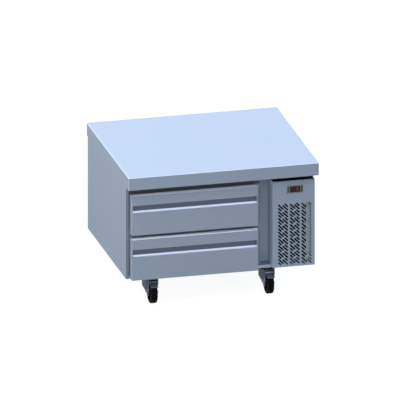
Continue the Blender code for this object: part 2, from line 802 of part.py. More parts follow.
def slot_mesh(name):
    """The cutting tool of the cover's slanting slots. In each column one row starts at the left edge
    and one ends at the right edge, and long slots take turns with short ones."""
    mesh = bpy.data.meshes.new(name)
    shape = bmesh.new()
    columns_width = SLOT_COLUMN_WIDTH + SLOT_COLUMN_PITCH * (SLOT_COLUMNS - 1)
    first = (COVER_LEFT + COVER_RIGHT - columns_width) / 2 + SLOT_OFFSET
    top = COVER_HIGH - SLOT_TOP_MARGIN
    spans = [(length + SLOT_WIDTH) * math.sin(SLOT_ANGLE) for length in (SLOT_LONG, SLOT_SHORT)]
    for column in range(SLOT_COLUMNS):
        left = first + SLOT_COLUMN_PITCH * column
        right = left + SLOT_COLUMN_WIDTH
        for line in range(SLOT_LINES):
            drop = SLOT_PITCH * line
            near, far = spans[line % 2], spans[1 - line % 2]
            low = top - drop - spans[1] + SLOT_LEAD
            add_slot(shape, left + near / 2, top - drop - near / 2, near)
            add_slot(shape, right - far / 2, low + far / 2, far)
    shape.to_mesh(mesh)
    shape.free()
    return mesh


def add_slot(shape, x, z, span):
    """One slot of a slant, in a square of the given span round its middle."""
    half = SLOT_WIDTH / 2
    reach = span / math.sin(SLOT_ANGLE) / 2 - half
    place = Matrix.Translation((x, FACE + SKIN / 2, z)) @ Matrix.Rotation(SLOT_ANGLE, 4, "Y")
    depth = SKIN / 2 + OVERRUN
    outline = arc((reach, 0), half, -90, 90, SLOT_END_STEPS)
    outline += arc((-reach, 0), half, 90, 270, SLOT_END_STEPS)
    rings = []
    for across in (-depth, depth):
        rings.append([shape.verts.new(place @ Vector((u, across, w))) for u, w in outline])
    front, back = rings
    shape.faces.new(front)
    shape.faces.new(reversed(back))
    for index in range(len(outline)):
        after = (index + 1) % len(outline)
        shape.faces.new((front[after], front[index], back[index], back[after]))


def machine_cover():
    past_back = POST_FACE + 2 * COVER_RADIUS
    low, high = (COVER_LEFT, FACE, COVER_LOW), (COVER_RIGHT, past_back, COVER_HIGH)
    cover = box("machine_cover", low, high)
    bevel(cover, COVER_RADIUS)
    inside = box(
        "machine_cover_inside",
        (COVER_LEFT + SKIN, FACE + SKIN, COVER_LOW + SKIN),
        (COVER_RIGHT - SKIN, past_back + COVER_RADIUS, COVER_HIGH - SKIN),
    )
    behind = box(
        "machine_cover_behind",
        (COVER_LEFT - OVERRUN, POST_FACE - FIT, COVER_LOW - OVERRUN),
        (COVER_RIGHT + OVERRUN, past_back + OVERRUN, COVER_HIGH + OVERRUN),
    )
    short_flanges = box(
        "machine_cover_short_flanges",
        (COVER_LEFT + SKIN, CABINET_FRONT - FIT, COVER_LOW - OVERRUN),
        (COVER_RIGHT + OVERRUN, POST_FACE + OVERRUN, COVER_HIGH + OVERRUN),
    )
    over_ledge = box(
        "machine_cover_over_ledge",
        (COVER_LEFT - OVERRUN, CABINET_FRONT - FIT, COVER_LOW - OVERRUN),
        (COVER_RIGHT + OVERRUN, POST_FACE + OVERRUN, ON_BASE),
    )
    slots = new_object("machine_cover_slots", slot_mesh("machine_cover_slots"))
    half = CONTROLLER_BODY_WIDTH / 2 + FIT
    low, high = controller_heights(CONTROLLER_BODY_HEIGHT + 2 * FIT)
    cut_out = box(
        "machine_cover_controller_hole",
        (CONTROLLER_X - half, FACE - OVERRUN, low),
        (CONTROLLER_X + half, FACE + SKIN + OVERRUN, high),
    )
    cut(cover, inside, behind, short_flanges, over_ledge, slots, cut_out)
    return finish(cover, "stainless_steel")


def controller_heights(height):
    middle = COVER_HIGH - CONTROLLER_DROP - CONTROLLER_HEIGHT / 2
    return middle - height / 2, middle + height / 2


def key_corners(side, level, gap, front, back):
    """The lowest and highest corner of a key, or of its pocket where the gap is more than zero."""
    middle = CONTROLLER_X + side * KEY_OFFSET
    height = sum(controller_heights(0)) / 2 + level * KEY_SPACING / 2
    reach_x, reach_z = KEY_WIDTH / 2 + gap, KEY_HEIGHT / 2 + gap
    return (middle - reach_x, front, height - reach_z), (middle + reach_x, back, height + reach_z)


def window_corners(gap, front, back):
    low, high = controller_heights(CONTROLLER_HEIGHT - 2 * CONTROLLER_RIM + 2 * gap)
    half = WINDOW_WIDTH / 2 + gap
    return (CONTROLLER_X - half, front, low), (CONTROLLER_X + half, back, high)


def controller_case():
    half = CONTROLLER_WIDTH / 2
    low, high = controller_heights(CONTROLLER_HEIGHT)
    case = box(
        "controller_case", (CONTROLLER_X - half, BEZEL_FACE, low), (CONTROLLER_X + half, FACE - FIT, high)
    )
    bevel(case, CONTROLLER_BEZEL / 4, 1)
    half = CONTROLLER_BODY_WIDTH / 2
    low, high = controller_heights(CONTROLLER_BODY_HEIGHT)
    body = box(
        "controller_body",
        (CONTROLLER_X - half, FACE - 2 * FIT, low),
        (CONTROLLER_X + half, FACE + CONTROLLER_BODY_DEPTH, high),
    )
    join(case, body)
    window = window_corners(FIT, BEZEL_FACE - OVERRUN, BEZEL_FACE + WINDOW_THICKNESS + FIT)
    pockets = [
        key_corners(side, level, KEY_FIT, BEZEL_FACE - OVERRUN, KEY_FLOOR)
        for side, level in KEY_CELLS
    ]
    cut(case, boxes("controller_recesses", [window, *pockets]))
    return finish(case, "grey_plastic")


def controller_window():
    corners = window_corners(0, BEZEL_FACE, BEZEL_FACE + WINDOW_THICKNESS)
    return finish(box("controller_window", *corners), "dark_window")


def controller_keys():
    for index, (side, level) in enumerate(KEY_CELLS):
        front = BEZEL_FACE - KEY_PROUD
        low, high = key_corners(side, level, 0, front, front + KEY_DEPTH)
        pivot = joint_empty(f"key_{index + 1}_axis", (Vector(low) + Vector(high)) / 2)
        key = box(f"controller_key_{index + 1}", low, high)
        bevel(key, KEY_PROUD / 2, 1)
        finish(key, "grey_plastic", pivot)


def pull_outline(high, grow):
    """The section of the finger pull below a height. grow is the thickness of sheet behind it."""
    pull_low = high - PULL_HEIGHT
    back, top = FACE + PULL_DEPTH + grow, high + PULL_HOOK + grow
    if grow:
        outline = [(FACE + FRONT_SHEET / 2, top), (back, top)]
    else:
        outline = [
            (FACE - OVERRUN, high),
            (FACE + PULL_LIP, high),
            (FACE + PULL_LIP, top),
            (back, top),
        ]
    for step in range(PULL_STEPS + 1):
        turn = math.radians(90) * step / PULL_STEPS
        across = back - (back - FACE - FRONT_EDGE) * (1 - math.cos(turn))
        outline.append((across, pull_low - grow + PULL_RISE * (1 - math.sin(turn))))
    outline.append((outline[0][0], pull_low - grow))
    return outline


def pull_solid(name, high, grow):
    left, right = DRAWER_LEFT + PULL_END - grow, DRAWER_RIGHT - PULL_END + grow
    return flat_outline(name, pull_outline(high, grow), left, right)


def drawer_front(name, low, high, strip, pivot):
    """The sheet pan of a drawer's face, with the finger pull folded into it."""
    rear = FRONT_BACK + 2 * FRONT_EDGE
    front = box(name, (DRAWER_LEFT, FACE, low), (DRAWER_RIGHT, rear, high))
    bevel(front, FRONT_EDGE)
    behind = box(
        f"{name}_behind",
        (DRAWER_LEFT - OVERRUN, FRONT_BACK, low - OVERRUN),
        (DRAWER_RIGHT + OVERRUN, rear + OVERRUN, high + OVERRUN),
    )
    inside = box(
        f"{name}_inside",
        (DRAWER_LEFT + FRONT_SHEET, FACE + FRONT_SHEET, low + FRONT_SHEET),
        (DRAWER_RIGHT - FRONT_SHEET, FRONT_BACK + OVERRUN, high - FRONT_SHEET),
    )
    cut(front, behind, inside)
    join(front, pull_solid(f"{name}_pull_back", high - strip, FRONT_SHEET))
    cut(front, pull_solid(f"{name}_pull", high - strip, 0))
    for side, edge in (("left", DRAWER_LEFT), ("right", DRAWER_RIGHT)):
        place = (edge, FACE + FRONT_DEPTH / 2, high - SIDE_HOLE_DROP)
        depth = 3 * FRONT_SHEET
        hole = cylinder(f"{name}_{side}_hole", place, SIDE_HOLE_RADIUS, depth, "X", SMALL_ROUND)
        cut(front, hole)
    return finish(front, "stainless_steel", pivot)


def drawer_liner(name, low, high, strip, opening, pivot):
    """The foam that fills the drawer's face, its liner panel, and the plug that enters the opening."""
    gap = FRONT_SHEET + FIT
    foam = box(
        name,
        (DRAWER_LEFT + gap, FACE + gap, low + gap),
        (DRAWER_RIGHT - gap, FRONT_BACK + FIT, high - gap),
    )
    cut(foam, pull_solid(f"{name}_pull_clearance", high - strip, gap))
    panel = box(
        f"{name}_panel",
        (DRAWER_LEFT + LINER_INSET, FRONT_BACK, low + LINER_INSET),
        (DRAWER_RIGHT - LINER_INSET, LINER_BACK, high - LINER_INSET),
    )
    plug = box(
        f"{name}_plug",
        (CAVITY_LEFT + PLUG_CLEARANCE, LINER_FRONT + FIT, opening[0] + PLUG_CLEARANCE),
        (CAVITY_RIGHT - PLUG_CLEARANCE, LINER_BACK + PLUG_DEPTH, opening[1] - PLUG_CLEARANCE),
    )
    bevel(plug, PLUG_CLEARANCE / 2, 1)
    join(foam, panel, plug)
    return finish(foam, "tub_liner", pivot)


def drawer_gasket(name, opening, pivot):
    front, back = LINER_BACK + FIT, LINER_BACK + FIT + GASKET_DEPTH

    def ring(reach, start, end):
        low = (CAVITY_LEFT - reach, start, opening[0] - reach)
        return low, (CAVITY_RIGHT + reach, end, opening[1] + reach)

    gasket = box(name, *ring(GASKET_INSET + GASKET_WIDTH, front, back))
    bevel(gasket, GASKET_WIDTH / 8, 1)
    hole = box(f"{name}_hole", *ring(GASKET_INSET, front - OVERRUN, back + OVERRUN))
    cut(gasket, hole)
    return finish(gasket, "gasket_rubber", pivot)


def slide_height(opening):
    """The height of the slides' middle line, which is also that of the pan frame."""
    return opening[1] - PAN_CLEARANCE - PAN_FRAME_HEIGHT / 2


def pan_wells():
    """Where each pan's well starts and how long it is: a full-size one, then the small ones that fit."""
    wells, start = [], PAN_FRAME_FRONT + PAN_BAR
    for length in [FULL_PAN_WELL] + [SMALL_PAN_WELL] * SMALL_PANS:
        wells.append((start, length))
        start += length + PAN_MIDDLE_BAR
    return wells


def pan_frame(name, opening, pivot):
    """The folded sheet ladder that holds the pans by their rims, with an inner slide member each side."""
    front = PAN_FRAME_FRONT
    middle = slide_height(opening)
    low, high = middle - PAN_FRAME_HEIGHT / 2, middle + PAN_FRAME_HEIGHT / 2
    left, right = CAVITY_LEFT + SLIDE_SPACE, CAVITY_RIGHT - SLIDE_SPACE
    back = sum(pan_wells()[-1]) + PAN_BAR
    plate_low = high - FRAME_PLATE_HEIGHT

    def wells(part, grow):
        side = PAN_FRAME_SIDE - grow
        return boxes(
            f"{name}_{part}",
            [
                (
                    (left + side, start - grow, plate_low - OVERRUN),
                    (right - side, start + length + grow, high + OVERRUN),
                )
                for start, length in pan_wells()
            ],
        )

    frame = box(name, (left, front, low), (right, back, high))
    under = box(
        f"{name}_under",
        (left + FRAME_SHEET, front + FRAME_SHEET, low - OVERRUN),
        (right - FRAME_SHEET, back - FRAME_SHEET, high - FRAME_SHEET),
    )
    cut(under, wells("well_walls", FRAME_SHEET))
    cut(frame, under)
    plate = box(f"{name}_plate", (left, front, plate_low), (right, front + FRAME_SHEET, high))
    join(frame, plate)
    for side, edge, outward in (("left", left, -1), ("right", right, 1)):
        join(frame, inner_member(f"{name}_{side}_member", edge, outward, front, middle))
    cut(frame, wells("wells", 0))
    return finish(frame, "stainless_steel", pivot)


def inner_member(name, edge, outward, front, middle):
    """The C-shaped slide member on one side of a pan frame. outward is 1 or -1 along X."""
    half = SLIDE_HEIGHT / 2 - 2 * (SLIDE_SHEET + FIT)
    reach = SLIDE_SPACE - 2 * (SLIDE_SHEET + FIT) - FIT
    start = front + INNER_SLIDE_START
    end = start + INNER_SLIDE_LENGTH
    near, far = sorted((edge - outward * FRAME_SHEET / 2, edge + outward * reach))
    member = box(name, (near, start, middle - half), (far, end, middle + half))
    near, far = sorted((edge, edge + outward * (reach - SLIDE_SHEET)))
    half -= SLIDE_SHEET
    start, end = start - INNER_SLIDE_START / 2, end + OVERRUN
    hollow = box(f"{name}_hollow", (near, start, middle - half), (far, end, middle + half))
    cut(member, hollow)
    return member


def channel_slide(name, side, opening, nest, length, pivot=None):
    """One C-shaped slide member. nest is 0 for the outer member and 1 for the one inside it."""
    wall, inward = (CAVITY_LEFT, 1) if side == "left" else (CAVITY_RIGHT, -1)
    step = SLIDE_SHEET + FIT
    web = FIT + nest * step
    reach = web + SLIDE_REACH
    half = SLIDE_HEIGHT / 2 - nest * step
    middle = slide_height(opening)
    front = TUB_FRONT + SLIDE_SETBACK
    near, far = sorted((wall + inward * web, wall + inward * reach))
    member = box(name, (near, front, middle - half), (far, front + length, middle + half))
    near, far = sorted((wall + inward * (web + SLIDE_SHEET), wall + inward * (reach + OVERRUN)))
    hollow = box(
        f"{name}_hollow",
        (near, front - OVERRUN, middle - half + SLIDE_SHEET),
        (far, front + length + OVERRUN, middle + half - SLIDE_SHEET),
    )
    cut(member, hollow)
    return finish(member, "zinc_plated_steel", pivot)


def drawer(level, low, high, strip, opening):
    middle_x = (DRAWER_LEFT + DRAWER_RIGHT) / 2
    pivot = joint_empty(f"{level}_drawer_axis", (middle_x, FACE, slide_height(opening)))
    drawer_front(f"{level}_drawer_front", low, high, strip, pivot)
    drawer_liner(f"{level}_drawer_liner", low, high, strip, opening, pivot)
    drawer_gasket(f"{level}_drawer_gasket", opening, pivot)
    pan_frame(f"{level}_drawer_pan_frame", opening, pivot)
    start = (middle_x, TUB_FRONT + SLIDE_SETBACK, slide_height(opening))
    middle_pivot = joint_empty(f"{level}_middle_slides_axis", start)
    for side in ("left", "right"):
        outer_name, middle_name = f"{level}_{side}_outer_slide", f"{level}_{side}_middle_slide"
        channel_slide(outer_name, side, opening, 0, SLIDE_LENGTH)
        channel_slide(middle_name, side, opening, 1, MIDDLE_SLIDE_LENGTH, middle_pivot)


def grooves(name, low, high, count):
    """The cutting tool of the spaces between fins, in from the front of a coil."""
    pitch = (high[0] - low[0]) / count
    corners = []
    for index in range(count):
        middle = low[0] + pitch * (index + 1 / 2)
        near, far = middle - FIN_GROOVE / 2, middle + FIN_GROOVE / 2
        corners.append(
            (
                (near, low[1] - OVERRUN, low[2] - OVERRUN),
                (far, low[1] + FIN_GROOVE_DEPTH, high[2] + OVERRUN),
            )
        )
    return boxes(name, corners)


def condenser_coil():
    low = (SHROUD_LEFT + SKIN + FIT, SHROUD_FRONT + SKIN + FIT, SHROUD_LOW + SKIN + FIT)
    high = (CONDENSER_RIGHT, SHROUD_FRONT + CONDENSER_DEPTH, SHROUD_HIGH - SKIN - FIT)
    coil = box("condenser_coil", low, high)
    cut(coil, grooves("condenser_grooves", low, high, CONDENSER_FINS))
    for index in range(2):
        across = HEADER_FRONT + HEADER_SPACING * index
        foot = (CONDENSER_RIGHT - HEADER_RADIUS, across, high[2] - HEADER_FOOT)
        run = [foot, (HEADER_X, across, high[2] - HEADER_FOOT), (HEADER_X, across, HEADER_TOP)]
        join(coil, tube(f"condenser_header_{index + 1}", run, HEADER_RADIUS))
    return finish(coil, "aluminium_fins")


def condenser_shroud():
    low, high = (SHROUD_LEFT, SHROUD_FRONT, SHROUD_LOW), (SHROUD_RIGHT, SHROUD_BACK, SHROUD_HIGH)
    shroud = box("condenser_shroud", low, high)
    inside = box(
        "condenser_shroud_inside",
        (SHROUD_LEFT + SKIN, SHROUD_FRONT + SKIN, SHROUD_LOW + SKIN),
        (SHROUD_RIGHT - SKIN, SHROUD_BACK - SKIN, SHROUD_HIGH - SKIN),
    )
    air_inlet = box(
        "condenser_shroud_inlet",
        (SHROUD_LEFT + SKIN, SHROUD_FRONT - OVERRUN, SHROUD_LOW + SKIN),
        (CONDENSER_RIGHT, SHROUD_FRONT + 2 * SKIN, SHROUD_HIGH - SKIN),
    )
    ring = cylinder(
        "condenser_shroud_ring",
        (FAN_X, SHROUD_BACK, FAN_Z),
        FAN_RING_RADIUS,
        2 * (SKIN + OVERRUN),
        "Y",
        ROUND,
    )
    cut(shroud, inside, air_inlet, ring)
    for index in range(2):
        place = (HEADER_X, HEADER_FRONT + HEADER_SPACING * index, SHROUD_HIGH)
        radius = HEADER_RADIUS + PIPE_HOLE_GAP
        cut(shroud, cylinder(f"condenser_shroud_hole_{index + 1}", place, radius, 4 * SKIN))
    for index, near in enumerate((SHROUD_LEFT, SHROUD_RIGHT - SHROUD_FOOT_WIDTH)):
        foot = box(
            f"condenser_shroud_foot_{index + 1}",
            (near, SHROUD_FRONT, ON_BASE),
            (near + SHROUD_FOOT_WIDTH, SHROUD_BACK, SHROUD_LOW + SKIN / 2),
        )
        join(shroud, foot)
    return finish(shroud, "galvanised_steel")


def fan_motor(centre_x, centre_z, wall, standoff, reach, radius, depth):
    """A motor on a strap bracket whose two feet stand on a wall, and its shaft towards the front."""
    bar = wall + standoff
    parts = [
        cylinder(
            "motor_can",
            (centre_x, bar + BRACKET_SHEET / 2 + depth / 2, centre_z),
            radius,
            depth,
            "Y",
            HOLE_ROUND,
        ),
        cylinder(
            "motor_shaft",
            (centre_x, bar - FAN_SHAFT_DEPTH / 2, centre_z),
            FAN_SHAFT_RADIUS,
            FAN_SHAFT_DEPTH + BRACKET_SHEET,
            "Y",
            SMALL_ROUND,
        ),
    ]
    for side in (-1, 1):
        near, far = sorted((centre_z + side * reach, centre_z + side * (reach - BRACKET_SHEET)))
        leg_low = (centre_x - BRACKET_WIDTH / 2, wall + FIT, near)
        leg_high = (centre_x + BRACKET_WIDTH / 2, bar + BRACKET_SHEET, far)
        parts.append(box("motor_leg", leg_low, leg_high))
        near, far = sorted((centre_z + side * reach, centre_z + side * (reach + BRACKET_LAND)))
        land_low = (centre_x - BRACKET_WIDTH / 2, wall + FIT, near - FIT)
        land_high = (centre_x + BRACKET_WIDTH / 2, wall + FIT + BRACKET_SHEET, far + FIT)
        parts.append(box("motor_land", land_low, land_high))
    return parts


def motor_bar(name, centre_x, centre_z, wall, standoff, reach):
    bar = wall + standoff
    low = (centre_x - BRACKET_WIDTH / 2, bar, centre_z - reach)
    high = (centre_x + BRACKET_WIDTH / 2, bar + BRACKET_SHEET, centre_z + reach)
    return box(name, low, high)


def condenser_fan_motor():
    reach = FAN_RING_RADIUS + BRACKET_LAND / 4
    place = (FAN_X, FAN_Z, SHROUD_BACK, BRACKET_STANDOFF, reach)
    motor = motor_bar("condenser_fan_motor", *place)
    join(motor, *fan_motor(*place, MOTOR_RADIUS, MOTOR_DEPTH))
    return finish(motor, "black_paint")


def fan_blade(name, centre_x, centre_z, bar, radius, pivot_name):
    """A hub with pitched blades. Its bore takes the motor's shaft, in front of the bracket's bar."""
    back = bar - FIT - BRACKET_SHEET / 2
    centre = Vector((centre_x, back - FAN_HUB_DEPTH / 2, centre_z))
    pivot = joint_empty(pivot_name, centre)
    hub = cylinder(name, centre, FAN_HUB_RADIUS, FAN_HUB_DEPTH, "Y")
    root = FAN_HUB_RADIUS * math.sqrt(1 / 2)
    for index in range(FAN_BLADES):
        turn = math.radians(360) * index / FAN_BLADES
        blade = box(
            f"{name}_vane_{index + 1}",
            (root, -FAN_BLADE_SHEET / 2, -FAN_BLADE_CHORD / 2),
            (radius * math.cos(FAN_BLADE_CHORD / 2 / radius), FAN_BLADE_SHEET / 2, FAN_BLADE_CHORD / 2),
        )
        blade.data.transform(Matrix.Rotation(FAN_PITCH, 4, "X"))
        blade.data.transform(Matrix.Rotation(turn, 4, "Y"))
        blade.data.transform(Matrix.Translation(centre))
        join(hub, blade)
    bore = cylinder(
        f"{name}_bore",
        (centre_x, back - FAN_SHAFT_DEPTH / 2, centre_z),
        FAN_SHAFT_RADIUS + PIN_FIT,
        FAN_SHAFT_DEPTH + 2 * PIN_FIT,
        "Y",
        SMALL_ROUND,
    )
    cut(hub, bore)
    return finish(hub, "black_plastic", pivot)


def compressor():
    radius, shoulder = COMPRESSOR_RADIUS, COMPRESSOR_RADIUS / 2
    profile = [(0, DOME_HIGH)]
    profile += [
        (radius - shoulder + across, DOME_HIGH - shoulder + up)
        for across, up in arc((0, 0), shoulder, 90, 0, SHOULDER_STEPS)
    ]
    profile += [(radius, DOME_LOW + shoulder / 2), (radius - shoulder / 2, DOME_LOW), (0, DOME_LOW)]
    dome = turned("compressor", profile, (COMPRESSOR_X, COMPRESSOR_Y, 0))
    half = Vector((COMPRESSOR_PLATE_WIDTH / 2, COMPRESSOR_PLATE_DEPTH / 2, COMPRESSOR_PLATE))
    place = Vector((COMPRESSOR_X, COMPRESSOR_Y, DOME_LOW))
    plate = box("compressor_plate", place - half, place + half)
    join(dome, plate)
    foot_height = COMPRESSOR_FOOT_HEIGHT - COMPRESSOR_PLATE / 2
    for index in range(4):
        side, end = (-1, 1)[index % 2], (-1, 1)[index // 2]
        place = (
            COMPRESSOR_X + side * (COMPRESSOR_PLATE_WIDTH / 2 - COMPRESSOR_FOOT_RADIUS),
            COMPRESSOR_Y + end * (COMPRESSOR_PLATE_DEPTH / 2 - COMPRESSOR_FOOT_RADIUS),
            ON_BASE + foot_height / 2,
        )
        name = f"compressor_foot_{index + 1}"
        join(dome, cylinder(name, place, COMPRESSOR_FOOT_RADIUS, foot_height, "Z", SMALL_ROUND))
    middle = (DOME_LOW + DOME_HIGH) / 2
    half = Vector((TERMINAL_WIDTH, TERMINAL_DEPTH, TERMINAL_HEIGHT)) / 2
    place = Vector((COMPRESSOR_X, COMPRESSOR_Y - radius, middle))
    terminal = box("compressor_terminal_cover", place - half, place + half)
    join(dome, terminal)
    for name, (across, along), pipe_radius in STUBS:
        low = DOME_HIGH - shoulder
        place = (across, along, (low + STUB_TOP) / 2)
        join(dome, cylinder(f"{name}_stub", place, pipe_radius, STUB_TOP - low, "Z", SMALL_ROUND))
    return finish(dome, "black_paint")


def pipes():
    """The three pipes of the cooling circuit, each ending face to face with what it joins."""
    start_x, start_y = STUBS[0][1]
    suction = [
        (start_x, start_y, STUB_TOP + FIT),
        (start_x, start_y, SUCTION_Z),
        (start_x, EVAPORATOR_Y, SUCTION_Z),
        (PIPE_END + FIT, EVAPORATOR_Y, SUCTION_Z),
    ]
    finish(tube("suction_pipe", suction, SUCTION_RADIUS), "copper")
    start_x, start_y = STUBS[1][1]
    height = HEADER_TOP + DISCHARGE_RISE
    second_header = HEADER_FRONT + HEADER_SPACING
    discharge = [
        (start_x, start_y, STUB_TOP + FIT),
        (start_x, start_y, height),
        (HEADER_X, start_y, height),
        (HEADER_X, second_header, height),
        (HEADER_X, second_header, HEADER_TOP + FIT),
    ]
    finish(tube("discharge_pipe", discharge, PRESSURE_RADIUS), "copper")
    liquid = [
        (HEADER_X, HEADER_FRONT, HEADER_TOP + FIT),
        (HEADER_X, HEADER_FRONT, LIQUID_Z),
        (HEADER_X, EVAPORATOR_Y, LIQUID_Z),
        (PIPE_END + FIT, EVAPORATOR_Y, LIQUID_Z),
    ]
    finish(tube("liquid_pipe", liquid, PRESSURE_RADIUS), "copper")


def evaporator_coil():
    low = (CAVITY_LEFT + EVAPORATOR_SIDE, CAVITY_BACK - FIT - EVAPORATOR_DEPTH, CAVITY_LOW + EVAPORATOR_LOW)
    high = (EVAPORATOR_RIGHT, CAVITY_BACK - FIT, CAVITY_HIGH - EVAPORATOR_HIGH)
    coil = box("evaporator_coil", low, high)
    cut(coil, grooves("evaporator_grooves", low, high, EVAPORATOR_FINS))
    for name, height, radius in PIPE_RUNS:
        start = EVAPORATOR_RIGHT - radius
        place = ((start + PIPE_END) / 2, EVAPORATOR_Y, height)
        join(coil, cylinder(f"{name}_coil_end", place, radius, PIPE_END - start, "X", SMALL_ROUND))
    return finish(coil, "aluminium_fins")


def fan_box_corners():
    margin = FAN_BOX_MARGIN + FAN_BOX_SHEET
    low = (CAVITY_LEFT + EVAPORATOR_SIDE - margin, FAN_BOX_FRONT, CAVITY_LOW + EVAPORATOR_LOW - margin)
    high = (EVAPORATOR_RIGHT + margin, CAVITY_BACK - FIT, CAVITY_HIGH - EVAPORATOR_HIGH + margin)
    return Vector(low), Vector(high)


def evaporator_fan_box():
    """The sheet box round the evaporator, open at the back and foot, with its fan's motor."""
    low, high = fan_box_corners()
    sheet = FAN_BOX_SHEET
    fan_box = box("evaporator_fan_box", low, high)
    inside = box(
        "evaporator_fan_box_inside",
        (low.x + sheet, low.y + sheet, low.z - OVERRUN),
        (high.x - sheet, high.y + OVERRUN, high.z - sheet),
    )
    middle_x, middle_z = (low.x + high.x) / 2, (low.z + high.z) / 2
    ring = cylinder(
        "evaporator_fan_box_ring",
        (middle_x, low.y, middle_z),
        EVAPORATOR_RING_RADIUS,
        2 * (sheet + OVERRUN),
        "Y",
        ROUND,
    )
    cut(fan_box, inside, ring)
    for name, height, radius in PIPE_RUNS:
        place = (high.x, EVAPORATOR_Y, height)
        hole = cylinder(f"{name}_box_hole", place, radius + PIPE_HOLE_GAP, 4 * sheet, "X", SMALL_ROUND)
        cut(fan_box, hole)
    wall = low.y + sheet - 2 * FIT
    reach = EVAPORATOR_RING_RADIUS + BRACKET_LAND / 4
    place = (middle_x, middle_z, wall, EVAPORATOR_STANDOFF, reach)
    join(fan_box, motor_bar("evaporator_motor_bar", *place))
    join(fan_box, *fan_motor(*place, SMALL_MOTOR_RADIUS, SMALL_MOTOR_DEPTH))
    return finish(fan_box, "galvanised_steel")


def evaporator_fan_blade():
    low, high = fan_box_corners()
    middle_x, middle_z = (low.x + high.x) / 2, (low.z + high.z) / 2
    bar = low.y + FAN_BOX_SHEET - 2 * FIT + EVAPORATOR_STANDOFF
    name = "evaporator_fan_blade"
    return fan_blade(name, middle_x, middle_z, bar, EVAPORATOR_FAN_RADIUS, "evaporator_fan_axis")


def caster_plate(name, x, y):
    low = (x - PLATE_WIDTH / 2, y - PLATE_DEPTH / 2, PLATE_TOP - PLATE_SHEET)
    plate = box(name, low, (x + PLATE_WIDTH / 2, y + PLATE_DEPTH / 2, PLATE_TOP))
    head = CROWN_LOW - FIT
    profile = [
        (0, PLATE_TOP - PLATE_SHEET / 2),
        (RACE_RADIUS, PLATE_TOP - PLATE_SHEET / 2),
        (RACE_RADIUS, RACE_LOW),
        (KINGPIN_RADIUS, RACE_LOW),
        (KINGPIN_RADIUS, head),
        (KINGPIN_HEAD_RADIUS, head),
        (KINGPIN_HEAD_RADIUS, head - KINGPIN_HEAD),
        (0, head - KINGPIN_HEAD),
    ]
    join(plate, turned(f"{name}_race", profile, (x, y, 0), "Z", HOLE_ROUND))
    for index in range(4):
        side, end = (-1, 1)[index % 2], (-1, 1)[index // 2]
        place = (
            x + side * (PLATE_WIDTH / 2 - PLATE_HOLE_INSET),
            y + end * (PLATE_DEPTH / 2 - PLATE_HOLE_INSET),
            PLATE_TOP - PLATE_SHEET / 2,
        )
        hole_name = f"{name}_hole_{index + 1}"
        depth = PLATE_SHEET + 2 * OVERRUN
        cut(plate, cylinder(hole_name, place, PLATE_HOLE_RADIUS, depth, "Z", SMALL_ROUND))
    return finish(plate, "zinc_plated_steel")


def leg_outline(y, wheel_y, pedal):
    """A fork leg seen from the side: a wide cheek, round at the axle, with the pedal's ear."""
    corners = [(y + CHEEK_REACH, CROWN_TOP), (pedal[0], CROWN_TOP)]
    corners += arc(pedal, PEDAL_EAR_RADIUS, *EAR_ANGLES, EAR_STEPS)
    corners += arc((wheel_y, WHEEL_RADIUS), AXLE_END_RADIUS, *AXLE_END_ANGLES, AXLE_END_STEPS)
    corners += [(y + behind, WHEEL_RADIUS + above) for behind, above in CHEEK_CORNERS]
    return corners


def fork_bell(name, x, y):
    """The bell under the crown: straight sides, then a taper, and open in front for the wheel."""
    head, waist, foot = CROWN_TOP - FORK_SHEET / 2, CROWN_TOP - BELL_STRAIGHT, CROWN_TOP - BELL_DEPTH
    profile = [
        (BELL_RADIUS, head),
        (BELL_RADIUS, waist),
        (BELL_FOOT_RADIUS, foot),
        (BELL_FOOT_RADIUS - FORK_SHEET, foot),
        (BELL_RADIUS - FORK_SHEET, waist),
        (BELL_RADIUS - FORK_SHEET, head),
    ]
    bell = turned(f"{name}_bell", profile, (x, y, 0), closed=True)
    half_mouth = LEG_INSIDE + FORK_SHEET / 2
    mouth = box(
        f"{name}_mouth",
        (x - half_mouth, y - CROWN_RADIUS, foot - OVERRUN),
        (x + half_mouth, y, CROWN_TOP),
    )
    cut(bell, mouth)
    return bell


def caster_fork(name, x, y, pivot):
    wheel_y = y - TRAIL
    pedal = (y - PEDAL_AHEAD, CASTER_HEIGHT - PEDAL_DROP)
    fork = cylinder(name, (x, y, (CROWN_TOP + CROWN_LOW) / 2), CROWN_RADIUS, FORK_SHEET, "Z", ROUND)
    bridge = box(
        f"{name}_bridge",
        (x - LEG_OUTSIDE, pedal[0] + PEDAL_EAR_RADIUS, CROWN_LOW),
        (x + LEG_OUTSIDE, y + CROWN_RADIUS / 2, CROWN_TOP),
    )
    join(fork, bridge, fork_bell(name, x, y))
    for side in (-1, 1):
        near, far = sorted((x + side * LEG_INSIDE, x + side * LEG_OUTSIDE))
        leg = flat_outline(f"{name}_leg", leg_outline(y, wheel_y, pedal), near, far)
        join(fork, leg)
    across = 2 * (LEG_OUTSIDE + OVERRUN)
    kingpin_hole = (x, y, CROWN_TOP)
    cut(
        fork,
        cylinder(f"{name}_kingpin_hole", kingpin_hole, KINGPIN_RADIUS + 2 * PIN_FIT, 4 * FORK_SHEET),
        cylinder(f"{name}_axle_hole", (x, wheel_y, WHEEL_RADIUS), AXLE_RADIUS + PIN_FIT, across, "X"),
        cylinder(
            f"{name}_pedal_hole", (x, *pedal), PEDAL_PIN_RADIUS + PIN_FIT, across, "X", SMALL_ROUND
        ),
    )
    return finish(fork, "zinc_plated_steel", pivot)


